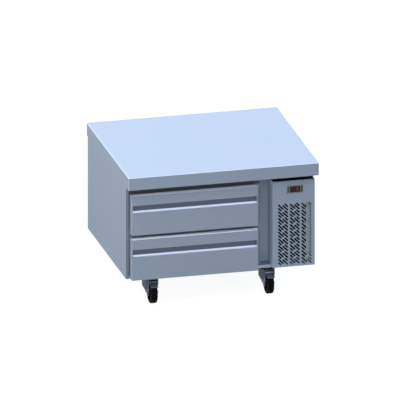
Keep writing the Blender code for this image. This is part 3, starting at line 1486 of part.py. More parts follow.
def caster_wheel(name, x, wheel_y, pivot):
    """A solid moulded wheel: a round-edged tread, dished sides, and a hub with the axle's bore."""
    half, hub = WHEEL_WIDTH / 2, WHEEL_WIDTH / 2 + HUB_OVERHANG
    bore = AXLE_RADIUS + 2 * PIN_FIT
    side = [(bore, hub), (HUB_RADIUS, hub), (HUB_RADIUS, half - RIM_DISH), (RIM_RADIUS, half - RIM_DISH)]
    side += [(RIM_RADIUS, half), (WHEEL_RADIUS - WHEEL_EDGE, half)]
    side += [(WHEEL_RADIUS - WHEEL_EDGE / 3, half - WHEEL_EDGE / 3), (WHEEL_RADIUS, half - WHEEL_EDGE)]
    profile = side + [(radius, -height) for radius, height in reversed(side)]
    wheel = turned(name, profile, (x, wheel_y, WHEEL_RADIUS), "X", ROUND, closed=True)
    return finish(wheel, "black_polyurethane", pivot)


def caster_axle(name, x, wheel_y, pivot):
    """The axle bolt, with a six-sided head at one end and a nut at the other."""
    seat = LEG_OUTSIDE + FIT
    bolt = cylinder(name, (x, wheel_y, WHEEL_RADIUS), AXLE_RADIUS, 2 * seat + AXLE_HEAD, "X")
    for side in (-1, 1):
        place = (x + side * (seat + AXLE_HEAD / 2), wheel_y, WHEEL_RADIUS)
        join(bolt, cylinder(f"{name}_head", place, AXLE_HEAD_RADIUS, AXLE_HEAD, "X", 6))
    return finish(bolt, "zinc_plated_steel", pivot)


def brake_pedal(name, x, y, fork_pivot):
    """A slotted brake plate that slopes down in front of the wheel from its pin in the fork."""
    pin = Vector((x, y - PEDAL_AHEAD, CASTER_HEIGHT - PEDAL_DROP))
    pivot = joint_empty(f"{name}_axis", pin, fork_pivot)
    barrel_length = 2 * (LEG_INSIDE - FORK_GAP)
    pedal = cylinder(name, pin, PEDAL_BARREL_RADIUS, barrel_length, "X")
    pin_length = 2 * LEG_OUTSIDE
    join(pedal, cylinder(f"{name}_pin", pin, PEDAL_PIN_RADIUS, pin_length, "X", SMALL_ROUND))
    plate = box(
        f"{name}_plate",
        (-PEDAL_WIDTH / 2, -PEDAL_LENGTH, -PEDAL_SHEET / 2),
        (PEDAL_WIDTH / 2, 0, PEDAL_SHEET / 2),
    )
    first = -PEDAL_WIDTH / 2 + PEDAL_SLOT_MARGIN
    last = PEDAL_WIDTH / 2 - PEDAL_SLOT_MARGIN - PEDAL_SLOT_WIDTH
    slots = []
    for index in range(PEDAL_SLOTS):
        near = first + (last - first) * index / (PEDAL_SLOTS - 1)
        slots.append(
            (
                (near, -PEDAL_LENGTH + PEDAL_SLOT_MARGIN, -PEDAL_SHEET),
                (near + PEDAL_SLOT_WIDTH, -PEDAL_BARREL_RADIUS - PEDAL_SLOT_MARGIN, PEDAL_SHEET),
            )
        )
    slot_tool = boxes(f"{name}_slots", slots)
    for piece in (plate, slot_tool):
        piece.data.transform(Matrix.Translation(pin) @ Matrix.Rotation(PEDAL_SLOPE, 4, "X"))
    join(pedal, plate)
    cut(pedal, slot_tool)
    return finish(pedal, "zinc_plated_steel", pivot)


def casters():
    for end, y in (("front", CABINET_FRONT + CASTER_FRONT), ("rear", CABINET_BACK - CASTER_REAR)):
        for side, x in (
            ("left", CABINET_LEFT + CASTER_LEFT),
            ("right", CABINET_LEFT + CASTER_LEFT + CASTER_SPACING),
        ):
            name = f"{end}_{side}"
            wheel_y = y - TRAIL
            caster_plate(f"{name}_caster_plate", x, y)
            fork_pivot = joint_empty(f"{name}_swivel_axis", (x, y, CROWN_TOP))
            caster_fork(f"{name}_caster_fork", x, y, fork_pivot)
            caster_axle(f"{name}_caster_axle", x, wheel_y, fork_pivot)
            wheel_pivot = joint_empty(f"{name}_wheel_axis", (x, wheel_y, WHEEL_RADIUS), fork_pivot)
            caster_wheel(f"{name}_caster_wheel", x, wheel_y, wheel_pivot)
            if end == "front":
                brake_pedal(f"{name}_brake_pedal", x, y, fork_pivot)


clear_scene()
PARTS = new_collection("refrigerated_chef_base")
TOOLS = new_collection("cutting_tools")
PAINTS = {name: make_material(name) for name in MATERIALS}
AXES = {}

worktop()
side_panel("left_side_panel", CABINET_LEFT, 1)
side_panel("right_side_panel", CABINET_RIGHT, -1)
back_panel()
base_pan()
insulated_tub()
opening_frame()
channel_post()
machine_cover()
controller_case()
controller_window()
controller_keys()
drawer("upper", UPPER_LOW, UPPER_HIGH, UPPER_STRIP, UPPER_OPENING)
drawer("lower", LOWER_LOW, LOWER_HIGH, LOWER_STRIP, LOWER_OPENING)
condenser_coil()
condenser_shroud()
condenser_fan_motor()
fan_blade(
    "condenser_fan_blade",
    FAN_X,
    FAN_Z,
    SHROUD_BACK + BRACKET_STANDOFF,
    FAN_RING_RADIUS - FAN_TIP_GAP,
    "condenser_fan_axis",
)
compressor()
pipes()
evaporator_coil()
evaporator_fan_box()
evaporator_fan_blade()
casters()
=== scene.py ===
# %% [markdown]
# # A refrigerated chef base
# A chef base is a low fridge with a strong worktop, made to carry a grill or a range. This one
# rolls on four casters. Two insulated drawers hold food pans on the left, and the cooling machine
# sits on the right behind a slotted cover.
#
# The solid model comes in already packed, with its joints. This lesson dresses it: it sets up the
# picture, mixes each finish, and models the pieces whose bends and edges the plain solids lack.

import json
import math

import bmesh
import bpy
from mathutils import Matrix, Vector


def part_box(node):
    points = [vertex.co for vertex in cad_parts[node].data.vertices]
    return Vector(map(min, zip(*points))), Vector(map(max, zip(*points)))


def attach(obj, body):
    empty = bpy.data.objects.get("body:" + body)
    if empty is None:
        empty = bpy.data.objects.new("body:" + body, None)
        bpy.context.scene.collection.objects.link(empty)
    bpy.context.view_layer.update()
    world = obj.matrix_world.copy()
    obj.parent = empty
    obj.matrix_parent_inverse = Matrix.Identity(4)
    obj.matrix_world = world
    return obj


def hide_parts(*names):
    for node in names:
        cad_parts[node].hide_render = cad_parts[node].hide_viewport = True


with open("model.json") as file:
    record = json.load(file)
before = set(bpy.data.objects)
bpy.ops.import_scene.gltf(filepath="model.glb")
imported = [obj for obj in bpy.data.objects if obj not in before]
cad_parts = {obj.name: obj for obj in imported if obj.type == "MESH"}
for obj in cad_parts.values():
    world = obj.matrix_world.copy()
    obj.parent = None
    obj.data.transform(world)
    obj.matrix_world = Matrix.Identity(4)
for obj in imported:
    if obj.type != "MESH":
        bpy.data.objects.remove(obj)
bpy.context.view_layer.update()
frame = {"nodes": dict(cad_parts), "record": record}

# %% [markdown]
# ## The camera
# The photograph has no vanishing points: edges that are parallel on the cabinet are parallel in
# the picture. That is an orthographic camera. It stands a little to the left of the front and
# looks down at about twenty degrees, which was worked out from the directions of the worktop's
# edges. The picture is square, and the cabinet sits left of and above its middle.

# %% Set the camera
CAMERA_AZIMUTH = math.radians(-14.02)
CAMERA_ELEVATION = math.radians(19.42)
CAMERA_DISTANCE = 6.0
PICTURE_WIDTH = 1.8834  # metres that the picture takes in
CORNER_LEFT = 0.3357  # how far the worktop's near left corner lies left of the picture's middle
CORNER_ABOVE = 0.1012  # and how far above it


def camera_axes():
    """The camera's own right, up and backward directions in the room."""
    turn = Matrix.Rotation(CAMERA_AZIMUTH, 3, "Z")
    right = turn @ Vector((1, 0, 0))
    level_back = turn @ Vector((0, -1, 0))
    back = level_back * math.cos(CAMERA_ELEVATION) + Vector((0, 0, math.sin(CAMERA_ELEVATION)))
    return right, back.cross(right), back


def set_camera():
    right, up, back = camera_axes()
    top_low, top_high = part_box("worktop")
    corner = Vector((top_low.x, top_low.y, top_high.z))
    aim = corner + right * CORNER_LEFT - up * CORNER_ABOVE
    data = bpy.data.cameras.new("camera")
    data.type = "ORTHO"
    data.ortho_scale = PICTURE_WIDTH
    camera = bpy.data.objects.new("camera", data)
    bpy.context.scene.collection.objects.link(camera)
    camera.location = aim + back * CAMERA_DISTANCE
    camera.rotation_euler = back.to_track_quat("Z", "Y").to_euler()
    bpy.context.scene.camera = camera
    return aim


print("the camera aims at", [round(v, 3) for v in set_camera()])

# %% [markdown]
# ## Nodes and colours
# A finish is a small graph of shader nodes. One helper adds a node, sets it and links it, so each
# recipe below reads as a list of steps. Colours are written as they look on a screen, in sRGB hex,
# and the shader wants linear light, so one function turns them.


# %% Helpers for shader nodes
def linear(hex_colour):
    """An sRGB hex colour such as 8090a0 as linear red, green, blue and alpha."""
    parts = [int(hex_colour[i : i + 2], 16) / 255 for i in (0, 2, 4)]
    turned = [c / 12.92 if c <= 0.04045 else ((c + 0.055) / 1.055) ** 2.4 for c in parts]
    return (*turned, 1)


def scaled(hex_colour, factor):
    """The same colour as linear light, made paler or darker by a factor."""
    return (*[channel * factor for channel in linear(hex_colour)[:3]], 1)


def add_node(tree, kind, inputs=None, **settings):
    """Adds a node. inputs gives each socket a value, or another node's socket to link from."""
    node = tree.nodes.new(kind)
    for name, value in settings.items():
        setattr(node, name, value)
    for socket, value in (inputs or {}).items():
        if isinstance(value, bpy.types.NodeSocket):
            tree.links.new(value, node.inputs[socket])
        else:
            node.inputs[socket].default_value = value
    return node


def new_finish(name, hex_colour, roughness, metallic=0.0, **sockets):
    """A material with one Principled shader, its even values set on the shader's own sockets.
    A socket such as Coat Roughness is given as Coat_Roughness."""
    finish = bpy.data.materials.new(name)
    finish.use_nodes = True
    shader = finish.node_tree.nodes["Principled BSDF"]
    shader.inputs["Base Color"].default_value = linear(hex_colour)
    shader.inputs["Roughness"].default_value = roughness
    shader.inputs["Metallic"].default_value = metallic
    for socket, value in sockets.items():
        shader.inputs[socket.replace("_", " ")].default_value = value
    return finish


def object_points(tree, *cell_mm):
    """Object coordinates, counted in cells of a pattern. The size of a cell is given in
    millimetres, either once or for X, Y and Z."""
    sizes = cell_mm if len(cell_mm) > 1 else cell_mm * 3
    points = add_node(tree, "ShaderNodeTexCoord").outputs["Object"]
    inputs = {"Vector": points, "Scale": [1000 / size for size in sizes]}
    return add_node(tree, "ShaderNodeMapping", inputs).outputs[0]


def vary(finish, pattern, first, second, smooth=None, rough=None):
    """Lets a pattern that runs from 0 to 1 take the colour from first to second, and the
    roughness from smooth to rough. Gives back the colour's output."""
    tree = finish.node_tree
    shader = tree.nodes["Principled BSDF"]
    colours = {0: pattern, 6: first, 7: second}
    colour = add_node(tree, "ShaderNodeMix", colours, data_type="RGBA").outputs[2]
    tree.links.new(colour, shader.inputs["Base Color"])
    if rough is not None:
        limits = {"Value": pattern, "To Min": smooth, "To Max": rough}
        level = add_node(tree, "ShaderNodeMapRange", limits).outputs["Result"]
        tree.links.new(level, shader.inputs["Roughness"])
    return colour


print("white turns into", linear("ffffff")[:3])

# %% [markdown]
# ## Light and floor
# Kitchen steel is photographed in a white tent, so that it has something pale to mirror. The world
# here is white to the camera and to reflections, and a dim grey to the light that falls on matt
# surfaces. A very wide lamp stands far behind the cabinet, where the whole worktop mirrors it
# evenly. Two long lamps stand well in front, one low and one high. They light the drawers' top
# edges and the sweep of their pulls, and leave what the worktop hangs over dark. A smaller lamp on
# each side lifts the side panels.

# %% Light the scene
WHITE = linear("ffffff")
WORLD_FILL = 0.2
LAMPS = (  # name, place and aim in metres, width and height in metres, watts, colour
    ("lamp_behind", (4.8, 20.0, 9.0), (0.0, 0.0, 0.6), 32.0, 16.0, 5350.0, "f4f8ff"),
    ("lamp_front", (-2.6, -7.0, 4.4), (0.0, 0.0, 0.4), 8.0, 2.4, 230.0, "ffffff"),
    ("lamp_over_front", (-1.4, -3.0, 6.4), (0.0, 0.0, 0.4), 7.2, 2.4, 215.0, "ffffff"),
    ("lamp_left", (-3.4, -0.3, 1.5), (0.0, 0.0, 0.4), 2.4, 2.4, 97.0, "fff4f0"),
    ("lamp_right", (3.4, 0.6, 1.5), (0.0, 0.0, 0.4), 2.4, 2.4, 70.0, "fff4f0"),
)


def seen_directly(tree):
    """1 for rays from the camera, from gloss and through glass, and 0 for the rest."""
    path = add_node(tree, "ShaderNodeLightPath")
    glossy = {0: path.outputs["Is Camera Ray"], 1: path.outputs["Is Glossy Ray"]}
    both = add_node(tree, "ShaderNodeMath", glossy, operation="MAXIMUM").outputs[0]
    clear = {0: both, 1: path.outputs["Is Transmission Ray"]}
    return add_node(tree, "ShaderNodeMath", clear, operation="MAXIMUM").outputs[0]


def light_world():
    world = bpy.data.worlds.new("white_tent")
    world.use_nodes = True
    tree = world.node_tree
    tree.nodes.clear()
    fill = add_node(tree, "ShaderNodeBackground", {"Color": WHITE, "Strength": WORLD_FILL})
    tent = add_node(tree, "ShaderNodeBackground", {"Color": WHITE, "Strength": 1.0})
    mix = {0: seen_directly(tree), 1: fill.outputs[0], 2: tent.outputs[0]}
    surface = add_node(tree, "ShaderNodeMixShader", mix).outputs[0]
    add_node(tree, "ShaderNodeOutputWorld", {"Surface": surface})
    bpy.context.scene.world = world


def soft_lamp(name, place, aim, width, height, watts, hex_colour):
    lamp = bpy.data.lights.new(name, "AREA")
    lamp.shape = "RECTANGLE"
    lamp.size = width
    lamp.size_y = height
    lamp.energy = watts
    lamp.color = linear(hex_colour)[:3]
    holder = bpy.data.objects.new(name, lamp)
    bpy.context.scene.collection.objects.link(holder)
    holder.visible_camera = False
    holder.location = place
    holder.rotation_euler = (Vector(place) - Vector(aim)).to_track_quat("Z", "Y").to_euler()


light_world()
for lamp_row in LAMPS:
    soft_lamp(*lamp_row)
bpy.context.scene.view_settings.view_transform = "Standard"
print("lamps", [row[0] for row in LAMPS])

# %% [markdown]
# The floor is one large sheet of paper. A fifth of its look is the light that falls on it, which
# gives the soft shadow. The rest is a white glow for the camera and for reflections, as in a
# picture that was cut out on white, and it is a little over white to make up for the fifth.

# %% Lay the floor
FLOOR_SIZE = 40.0
FLOOR_GLOW = 0.8
PAPER_LIGHT = 1.12
PAPER = "f2f3f5"


def lay_floor():
    bpy.ops.object.select_all(action="DESELECT")
    bpy.ops.mesh.primitive_plane_add(size=FLOOR_SIZE)
    floor = bpy.context.object
    floor.name = "floor"
    paper = bpy.data.materials.new("pale_paper")
    paper.use_nodes = True
    tree = paper.node_tree
    tree.nodes.clear()
    matt = add_node(tree, "ShaderNodeBsdfDiffuse", {"Color": linear(PAPER)})
    glow = add_node(tree, "ShaderNodeEmission", {"Color": WHITE, "Strength": PAPER_LIGHT})
    factors = {0: seen_directly(tree), 1: FLOOR_GLOW}
    share = add_node(tree, "ShaderNodeMath", factors, operation="MULTIPLY").outputs[0]
    mix = {0: share, 1: matt.outputs[0], 2: glow.outputs[0]}
    surface = add_node(tree, "ShaderNodeMixShader", mix).outputs[0]
    add_node(tree, "ShaderNodeOutputMaterial", {"Surface": surface})
    floor.data.materials.append(paper)
    return floor


print("floor", lay_floor().dimensions[:])

# %% [markdown]
# ## Finishes
# ### Satin stainless steel
# The cabinet's skin is 304 stainless sheet with a ground finish: a belt leaves short fine
# scratches that all run one way. They smear what the steel mirrors across themselves, which gives
# the eye a soft sheen with faint streaks. Real scratches are a few hundredths of a millimetre
# apart, too fine to show, so they are drawn here about a millimetre apart and very faint. They run
# along X on the front and top, and upright on the side panels, where the sheet was turned.
#
# One recipe makes several steels. Paler copies on edges and bends are painted highlights, and a
# darker copy in the pocket behind a pull is painted shade. The post and the inner parts keep the
# even, matt skin of the rolling mill.

# %% Ground stainless steel
STREAK_PITCH_MM = 1.1
STREAK_LENGTH_MM = 60.0
CLOUD_MM = 260.0  # the size of the soft clouds that break up the streaks
CLOUD_SHARE = 0.35  # how much of the pattern is clouds, where the rest is streaks
DARKEST, PALEST = 0.93, 1.07  # how far the pattern moves the colour
ROUGHNESS_SWING = 0.05
STREAK_RELIEF, STREAK_DEPTH = 0.06, 0.0002
STEEL = "8c9aab"
# The worktop's steel is a paler, bluer copy of STEEL: painted light on the top.
WORKTOP_STEEL = "90a0b5"
# The next two are paler copies of the steel, for painted highlights on bends, pull sweeps and top
# edges.
BEND_HIGHLIGHT_STEEL = "b6c5da"
EDGE_HIGHLIGHT_STEEL = "d6e3f3"
# A darker copy of the steel, painted shade inside the pocket behind each pull.
SHADED_POCKET_STEEL = "515b69"
STEEL_METALLIC = 0.9
QUARTER_TURN = 0.25


def ground_stainless(name, along, roughness, scatter, hex_colour=STEEL, metallic=STEEL_METALLIC):
    """along is the axis, 0 for X, 1 for Y or 2 for Z, that the scratches follow. scatter is how
    much more they spread the light across themselves than along."""
    finish = new_finish(name, hex_colour, roughness, metallic=metallic, Anisotropic=scatter)
    tree = finish.node_tree
    shader = tree.nodes["Principled BSDF"]
    shader.inputs["Anisotropic Rotation"].default_value = QUARTER_TURN
    scratch = {axis: 1.0 if axis == along else 0.0 for axis in range(3)}
    direction = add_node(tree, "ShaderNodeCombineXYZ", scratch).outputs[0]
    tree.links.new(direction, shader.inputs["Tangent"])
    cells = [STREAK_PITCH_MM] * 3
    cells[along] = STREAK_LENGTH_MM
    points = object_points(tree, *cells)
    streaks = {"Vector": points, "Scale": 1.0, "Detail": 2.0, "Roughness": 0.6}
    streak = add_node(tree, "ShaderNodeTexNoise", streaks).outputs[0]
    clouds = {"Vector": object_points(tree, CLOUD_MM), "Scale": 1.0, "Detail": 1.0}
    cloud = add_node(tree, "ShaderNodeTexNoise", clouds).outputs[0]
    parts = {0: CLOUD_SHARE, 2: streak, 3: cloud}
    pattern = add_node(tree, "ShaderNodeMix", parts, data_type="FLOAT").outputs[0]
    dark, pale = scaled(hex_colour, DARKEST), scaled(hex_colour, PALEST)
    vary(finish, pattern, dark, pale, roughness - ROUGHNESS_SWING, roughness + ROUGHNESS_SWING)
    relief = {"Height": streak, "Strength": STREAK_RELIEF, "Distance": STREAK_DEPTH}
    bump = add_node(tree, "ShaderNodeBump", relief).outputs[0]
    tree.links.new(bump, shader.inputs["Normal"])
    return finish


steel_along_x = ground_stainless("ground_stainless_along_x", 0, 0.66, 0.92)
steel_upright = ground_stainless("ground_stainless_upright", 2, 0.66, 0.92)
steel_inside = ground_stainless("mill_stainless", 0, 0.5, 0.0)
satin_worktop = ground_stainless("satin_stainless_worktop", 0, 0.55, 0.7, WORKTOP_STEEL)
# These two are paler steels that carry painted highlights.
highlight_edge_steel = ground_stainless("stainless_edge_painted_highlight", 0, 0.62, 0.92, EDGE_HIGHLIGHT_STEEL)
highlight_bend_steel = ground_stainless("stainless_bend_painted_highlight", 0, 0.55, 0.0, BEND_HIGHLIGHT_STEEL)
# This darker steel carries painted shade.
shaded_pocket_steel = ground_stainless("stainless_pocket_painted_shade", 0, 0.5, 0.0, SHADED_POCKET_STEEL)
matt_post = ground_stainless("matt_stainless_post", 2, 0.6, 0.0, metallic=0.25)
print("steel", steel_along_x.name, steel_upright.name, steel_inside.name, satin_worktop.name)
# These print the paler steels, painted highlights, then the darker pocket steel, painted shade,
# and the matt post steel.
print("steel with painted highlights", highlight_edge_steel.name, highlight_bend_steel.name)
print("steel with painted shade, matt steel", shaded_pocket_steel.name, matt_post.name)

# %% [markdown]
# ### Coated and plated steel
# The back, the condenser's shroud and the evaporator's box are galvanised sheet, dipped in molten
# zinc. The zinc cools into flat crystals a centimetre or so across, each with its own grey, which
# is called spangle. A Voronoi pattern has just such cells. The casters are zinc plated in a bath
# instead, which leaves an even, slightly blue skin. Their forks get a darker copy of it, a painted
# shade.

# %% Galvanised and zinc-plated steel
SPANGLE_MM = 9.0
PLATING_MM = 14.0


def spangle(tree):
    """Flat crystals of zinc, each with its own grey from 0 to 1."""
    cells = {"Vector": object_points(tree, SPANGLE_MM), "Scale": 1.0}
    crystals = add_node(tree, "ShaderNodeTexVoronoi", cells).outputs["Color"]
    return add_node(tree, "ShaderNodeSeparateColor", {"Color": crystals}).outputs[0]


def galvanised_steel():
    finish = new_finish("spangled_galvanised_sheet", "9ba0a2", 0.45, metallic=1.0)
    grey = spangle(finish.node_tree)
    vary(finish, grey, linear("80868a"), linear("9ba1a4"), 0.5, 0.66)
    return finish


def zinc_plated_steel(name, dark, pale):
    finish = new_finish(name, dark, 0.46, metallic=1.0)
    tree = finish.node_tree
    cells = {"Vector": object_points(tree, PLATING_MM), "Scale": 1.0, "Detail": 3.0}
    haze = add_node(tree, "ShaderNodeTexNoise", cells).outputs[0]
    vary(finish, haze, linear(dark), linear(pale), 0.4, 0.52)
    return finish


galvanised_sheet = galvanised_steel()
zinc_plate = zinc_plated_steel("bath_zinc_plate", "5f6775", "727a88")
# A darker copy of the zinc for the forks: painted shade.
shaded_fork_zinc = zinc_plated_steel("zinc_plate_painted_shade", "474d5b", "575d6c")
print("coated steel", galvanised_sheet.name, zinc_plate.name, shaded_fork_zinc.name)

# %% [markdown]
# ### Moulded and extruded plastics
# The tub and the drawer backs are lined with white polystyrene sheet that is vacuum formed, which
# has a soft shine and a faint orange-peel. The breaker frame round the openings is extruded PVC,
# and the gaskets are soft PVC. The fan and the controller's case are moulded ABS with the fine
# grain of a spark-eroded mould, and the wheels are cast polyurethane. One recipe serves them all,
# each with its own colour, shine and grain size.
#
# A near-black colour on the cover's top flange and on the head of the breaker frame is painted
# shadow, for the dark gap under the worktop. The head is told from the rest of the frame by its
# height.

# %% Plastics
SHADOW_HEIGHT = 0.547  # where the painted shadow on the breaker frame starts, in metres above the floor
DULLEST = 0.9  # how far the grain darkens the colour
GRAIN_SWING = 0.06  # and how far it moves the roughness
GRAIN_DEPTH = 0.0003


def moulded_plastic(name, hex_colour, roughness, grain_mm, relief, shine=0.5):
    finish = new_finish(name, hex_colour, roughness, Specular_IOR_Level=shine)
    tree = finish.node_tree
    cells = {"Vector": object_points(tree, grain_mm), "Scale": 1.0, "Detail": 2.0}
    grain = add_node(tree, "ShaderNodeTexNoise", cells).outputs[0]
    dull = scaled(hex_colour, DULLEST)
    smooth, rough = roughness - GRAIN_SWING, roughness + GRAIN_SWING
    vary(finish, grain, dull, linear(hex_colour), smooth, rough)
    dents = {"Height": grain, "Strength": relief, "Distance": GRAIN_DEPTH}
    bump = add_node(tree, "ShaderNodeBump", dents).outputs[0]
    tree.links.new(bump, tree.nodes["Principled BSDF"].inputs["Normal"])
    return finish


def lies_past(tree, axis, place):
    """1 where the surface lies past a place on one axis, in metres, and 0 before it."""
    points = add_node(tree, "ShaderNodeTexCoord").outputs["Object"]
    along = add_node(tree, "ShaderNodeSeparateXYZ", {0: points}).outputs[axis]
    edge = {0: along, 1: place}
    return add_node(tree, "ShaderNodeMath", edge, operation="GREATER_THAN").outputs[0]


def shadowed_breaker():
    """The breaker frame's grey extrusion, with painted shadow on its head."""
    finish = moulded_plastic("extruded_pvc_painted_shadow", "767b84", 0.5, 3.0, 0.1)
    tree = finish.node_tree
    grey = tree.nodes["Principled BSDF"].inputs["Base Color"].links[0].from_socket
    # Above that height the frame turns dark: painted shadow.
    vary(finish, lies_past(tree, 2, SHADOW_HEIGHT), grey, linear("3d4249"))
    return finish


white_liner = moulded_plastic("formed_polystyrene", "dfe3e6", 0.38, 6.0, 0.15)
# Near black for the gap under the worktop: painted shadow.
shadow_black = moulded_plastic("painted_shadow_black", "17181a", 0.8, 3.0, 0.6, 0.1)
breaker_pvc = shadowed_breaker()
soft_pvc = moulded_plastic("soft_pvc_gasket", "8b8c8f", 0.62, 2.0, 0.2)
black_abs = moulded_plastic("black_abs", "17181a", 0.45, 1.2, 0.25)
grey_abs = moulded_plastic("grey_abs", "64686b", 0.5, 1.2, 0.25)
wheel_rubber = moulded_plastic("cast_polyurethane", "050505", 0.7, 2.5, 0.3, 0.05)
print("plastics", white_liner.name, breaker_pvc.name, soft_pvc.name, wheel_rubber.name)
# This prints the finish of the painted shadow.
print("tape", shadow_black.name)

# %% [markdown]
# ### The machine's finishes
# The compressor and motors are dipped in black enamel, glossy and slightly uneven. The condenser
# and evaporator are aluminium fins two or three millimetres apart on copper tube. A wave along X
# draws the fins between the cut grooves, about twice as far apart, so that they show. The
# condenser's fins are near black, and its shroud is near black up to the right flange, which is
# bare: this is painted shade for the dark inside behind the cover. The pipes are bare copper that
# has begun to tarnish. The controller's window is smoked acrylic, and the number behind it is lit
# by red diodes.

# %% Enamel, fins, copper, smoked acrylic and red light
ENAMEL_RUN_MM = 12.5
FIN_PITCH_MM = 5.53
WAVELENGTH = 2 * math.pi / 20  # of a wave texture whose scale is 1
TARNISH_MM = 16.667
BARE_FLANGE = 0.422  # where the painted shade on the condenser's shroud ends, in metres along X
# Near black: painted shade on the condenser's shroud.
SHROUD_SHADE = "0c0d0e"


def black_enamel():
    finish = new_finish("black_enamel", "101113", 0.28, Coat_Weight=0.4, Coat_Roughness=0.12)
    tree = finish.node_tree
    cells = {"Vector": object_points(tree, ENAMEL_RUN_MM), "Scale": 1.0}
    runs = add_node(tree, "ShaderNodeTexNoise", cells).outputs[0]
    swells = {"Height": runs, "Strength": 0.2, "Distance": 0.0005}
    bump = add_node(tree, "ShaderNodeBump", swells).outputs[0]
    tree.links.new(bump, tree.nodes["Principled BSDF"].inputs["Normal"])
    return finish


def finned_coil(name, groove, edge, metallic, shine=0.5):
    """groove and edge are the colours between the fins and on their edges."""
    finish = new_finish(name, edge, 0.45, metallic, Specular_IOR_Level=shine)
    tree = finish.node_tree
    waves = {"Vector": object_points(tree, FIN_PITCH_MM), "Scale": WAVELENGTH}
    fins = add_node(tree, "ShaderNodeTexWave", waves, bands_direction="X").outputs["Fac"]
    vary(finish, fins, linear(groove), linear(edge))
    return finish


def shaded_shroud():
    """Galvanised sheet, near black up to its right flange as painted shade; the flange is bare."""
    finish = new_finish("galvanised_painted_shade", SHROUD_SHADE, 0.6, Specular_IOR_Level=0.08)
    tree = finish.node_tree
    zinc = vary(finish, spangle(tree), linear("bab4ac"), linear("d8d2ca"))
    vary(finish, lies_past(tree, 0, BARE_FLANGE), linear(SHROUD_SHADE), zinc)
    return finish


def bare_copper():
    finish = new_finish("bare_copper", "b87855", 0.3, metallic=1.0)
    tree = finish.node_tree
    cells = {"Vector": object_points(tree, TARNISH_MM), "Scale": 1.0, "Detail": 4.0}
    tarnish = add_node(tree, "ShaderNodeTexNoise", cells).outputs[0]
    vary(finish, tarnish, linear("8f5a3e"), linear("c88a66"), 0.2, 0.45)
    return finish


smoked_acrylic = new_finish("smoked_acrylic", "14110f", 0.12, Specular_IOR_Level=0.2)
red_light = new_finish(
    "red_diodes", "7a1410", 0.4, Emission_Color=linear("d8261a"), Emission_Strength=0.7
)
bare_fins = finned_coil("aluminium_fins_bare", "3c3f42", "b4b8bb", 1.0)
# Near-black condenser fins: painted shade.
shade_black_fins = finned_coil("aluminium_fins_painted_shade", "050506", "0e0f11", 0.0, 0.06)
print("machine finishes", smoked_acrylic.name, red_light.name, bare_fins.name, shade_black_fins.name)

# %% [markdown]
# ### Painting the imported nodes
# Every node names the material slot of the part that it comes from. A table from slot to finish
# then paints the whole cabinet. A second table holds the nodes that look different from the rest
# of their slot, such as the side panels, whose streaks stand up.

# %% Paint every node
CORNERS = ("front_left", "front_right", "rear_left", "rear_right")
FINISHES = {
    "stainless_steel": steel_inside,
    "galvanised_steel": galvanised_sheet,
    "zinc_plated_steel": zinc_plate,
    "tub_liner": white_liner,
    "frame_plastic": breaker_pvc,
    "gasket_rubber": soft_pvc,
    "black_plastic": black_abs,
    "grey_plastic": grey_abs,
    "dark_window": smoked_acrylic,
    "black_paint": black_enamel(),
    "aluminium_fins": bare_fins,
    "copper": bare_copper(),
    "black_polyurethane": wheel_rubber,
}
OWN_FINISHES = {
    "left_side_panel": steel_upright,
    "right_side_panel": steel_upright,
    "channel_post": matt_post,
    "condenser_coil": shade_black_fins,
    "condenser_shroud": shaded_shroud(),
}
# The forks get the darker zinc, a painted shade.
for corner in CORNERS:
    OWN_FINISHES[f"{corner}_caster_fork"] = shaded_fork_zinc
slot_of = {part["node"]: part["material_slot"] for part in frame["record"]["subparts"]}


def paint_nodes():
    for name, node in frame["nodes"].items():
        finish = OWN_FINISHES.get(name) or FINISHES[slot_of[name]]
        node.data.materials.clear()
        node.data.materials.append(finish)


paint_nodes()
print("painted", len(slot_of), "nodes with", len(FINISHES), "finishes")

# %% [markdown]
# ## Modelling tools
# Sheet metal pieces start as a block and turned ones as a rod. Real work follows: bends are
# bevelled, flanges and dishes are inset and drawn out, and holes are cut. These helpers choose a
# piece, pick its faces or edges by where they lie, and change only those. Everything is built
# where it stands on the cabinet, so each finished piece keeps its origin in the middle of the
# room. Last, a weighted normal modifier keeps the flats beside a rounded edge looking flat.

# %% Modelling helpers
NEAR = 0.00002  # two places closer than this count as the same
STEEP, SLIGHT = 0.95, 0.05  # how much of a face's normal points one way: nearly all, hardly any
SHARP = math.radians(40)  # edges that turn more than this are the ones to round
SMOOTH = math.radians(35)  # and these stay crisp when the rest is shaded smooth


def choose(*pieces):
    """Selects the pieces and nothing else, and makes the first of them active."""
    bpy.ops.object.select_all(action="DESELECT")
    for piece in pieces:
        piece.select_set(True)
    bpy.context.view_layer.objects.active = pieces[0]
    return pieces[0]


def settle(piece, name):
    """Names a piece and puts its place, turn and size into its mesh."""
    choose(piece)
    bpy.ops.object.transform_apply(location=True, rotation=True, scale=True)
    piece.name = piece.data.name = name
    return piece


def block(name, low, high, turn=(0, 0, 0)):
    bpy.ops.object.select_all(action="DESELECT")
    low, high = Vector(low), Vector(high)
    bpy.ops.mesh.primitive_cube_add(size=1, location=(low + high) / 2, rotation=turn)
    bpy.context.object.scale = high - low
    return settle(bpy.context.object, name)


def rod(name, centre, radius, depth, axis="Z", sides=48):
    turns = {"X": (0, math.pi / 2, 0), "Y": (math.pi / 2, 0, 0), "Z": (0, 0, 0)}
    bpy.ops.object.select_all(action="DESELECT")
    bpy.ops.mesh.primitive_cylinder_add(
        vertices=sides, radius=radius, depth=depth, location=centre, rotation=turns[axis]
    )
    return settle(bpy.context.object, name)


def lies_at(part, axis, value):
    """True when a face or edge lies wholly at one coordinate."""
    return all(abs(corner.co[axis] - value) < NEAR for corner in part.verts)


def within(part, axis, low, high):
    return all(low - NEAR < corner.co[axis] < high + NEAR for corner in part.verts)


def is_sharp(edge):
    return edge.is_manifold and edge.calc_face_angle() > SHARP


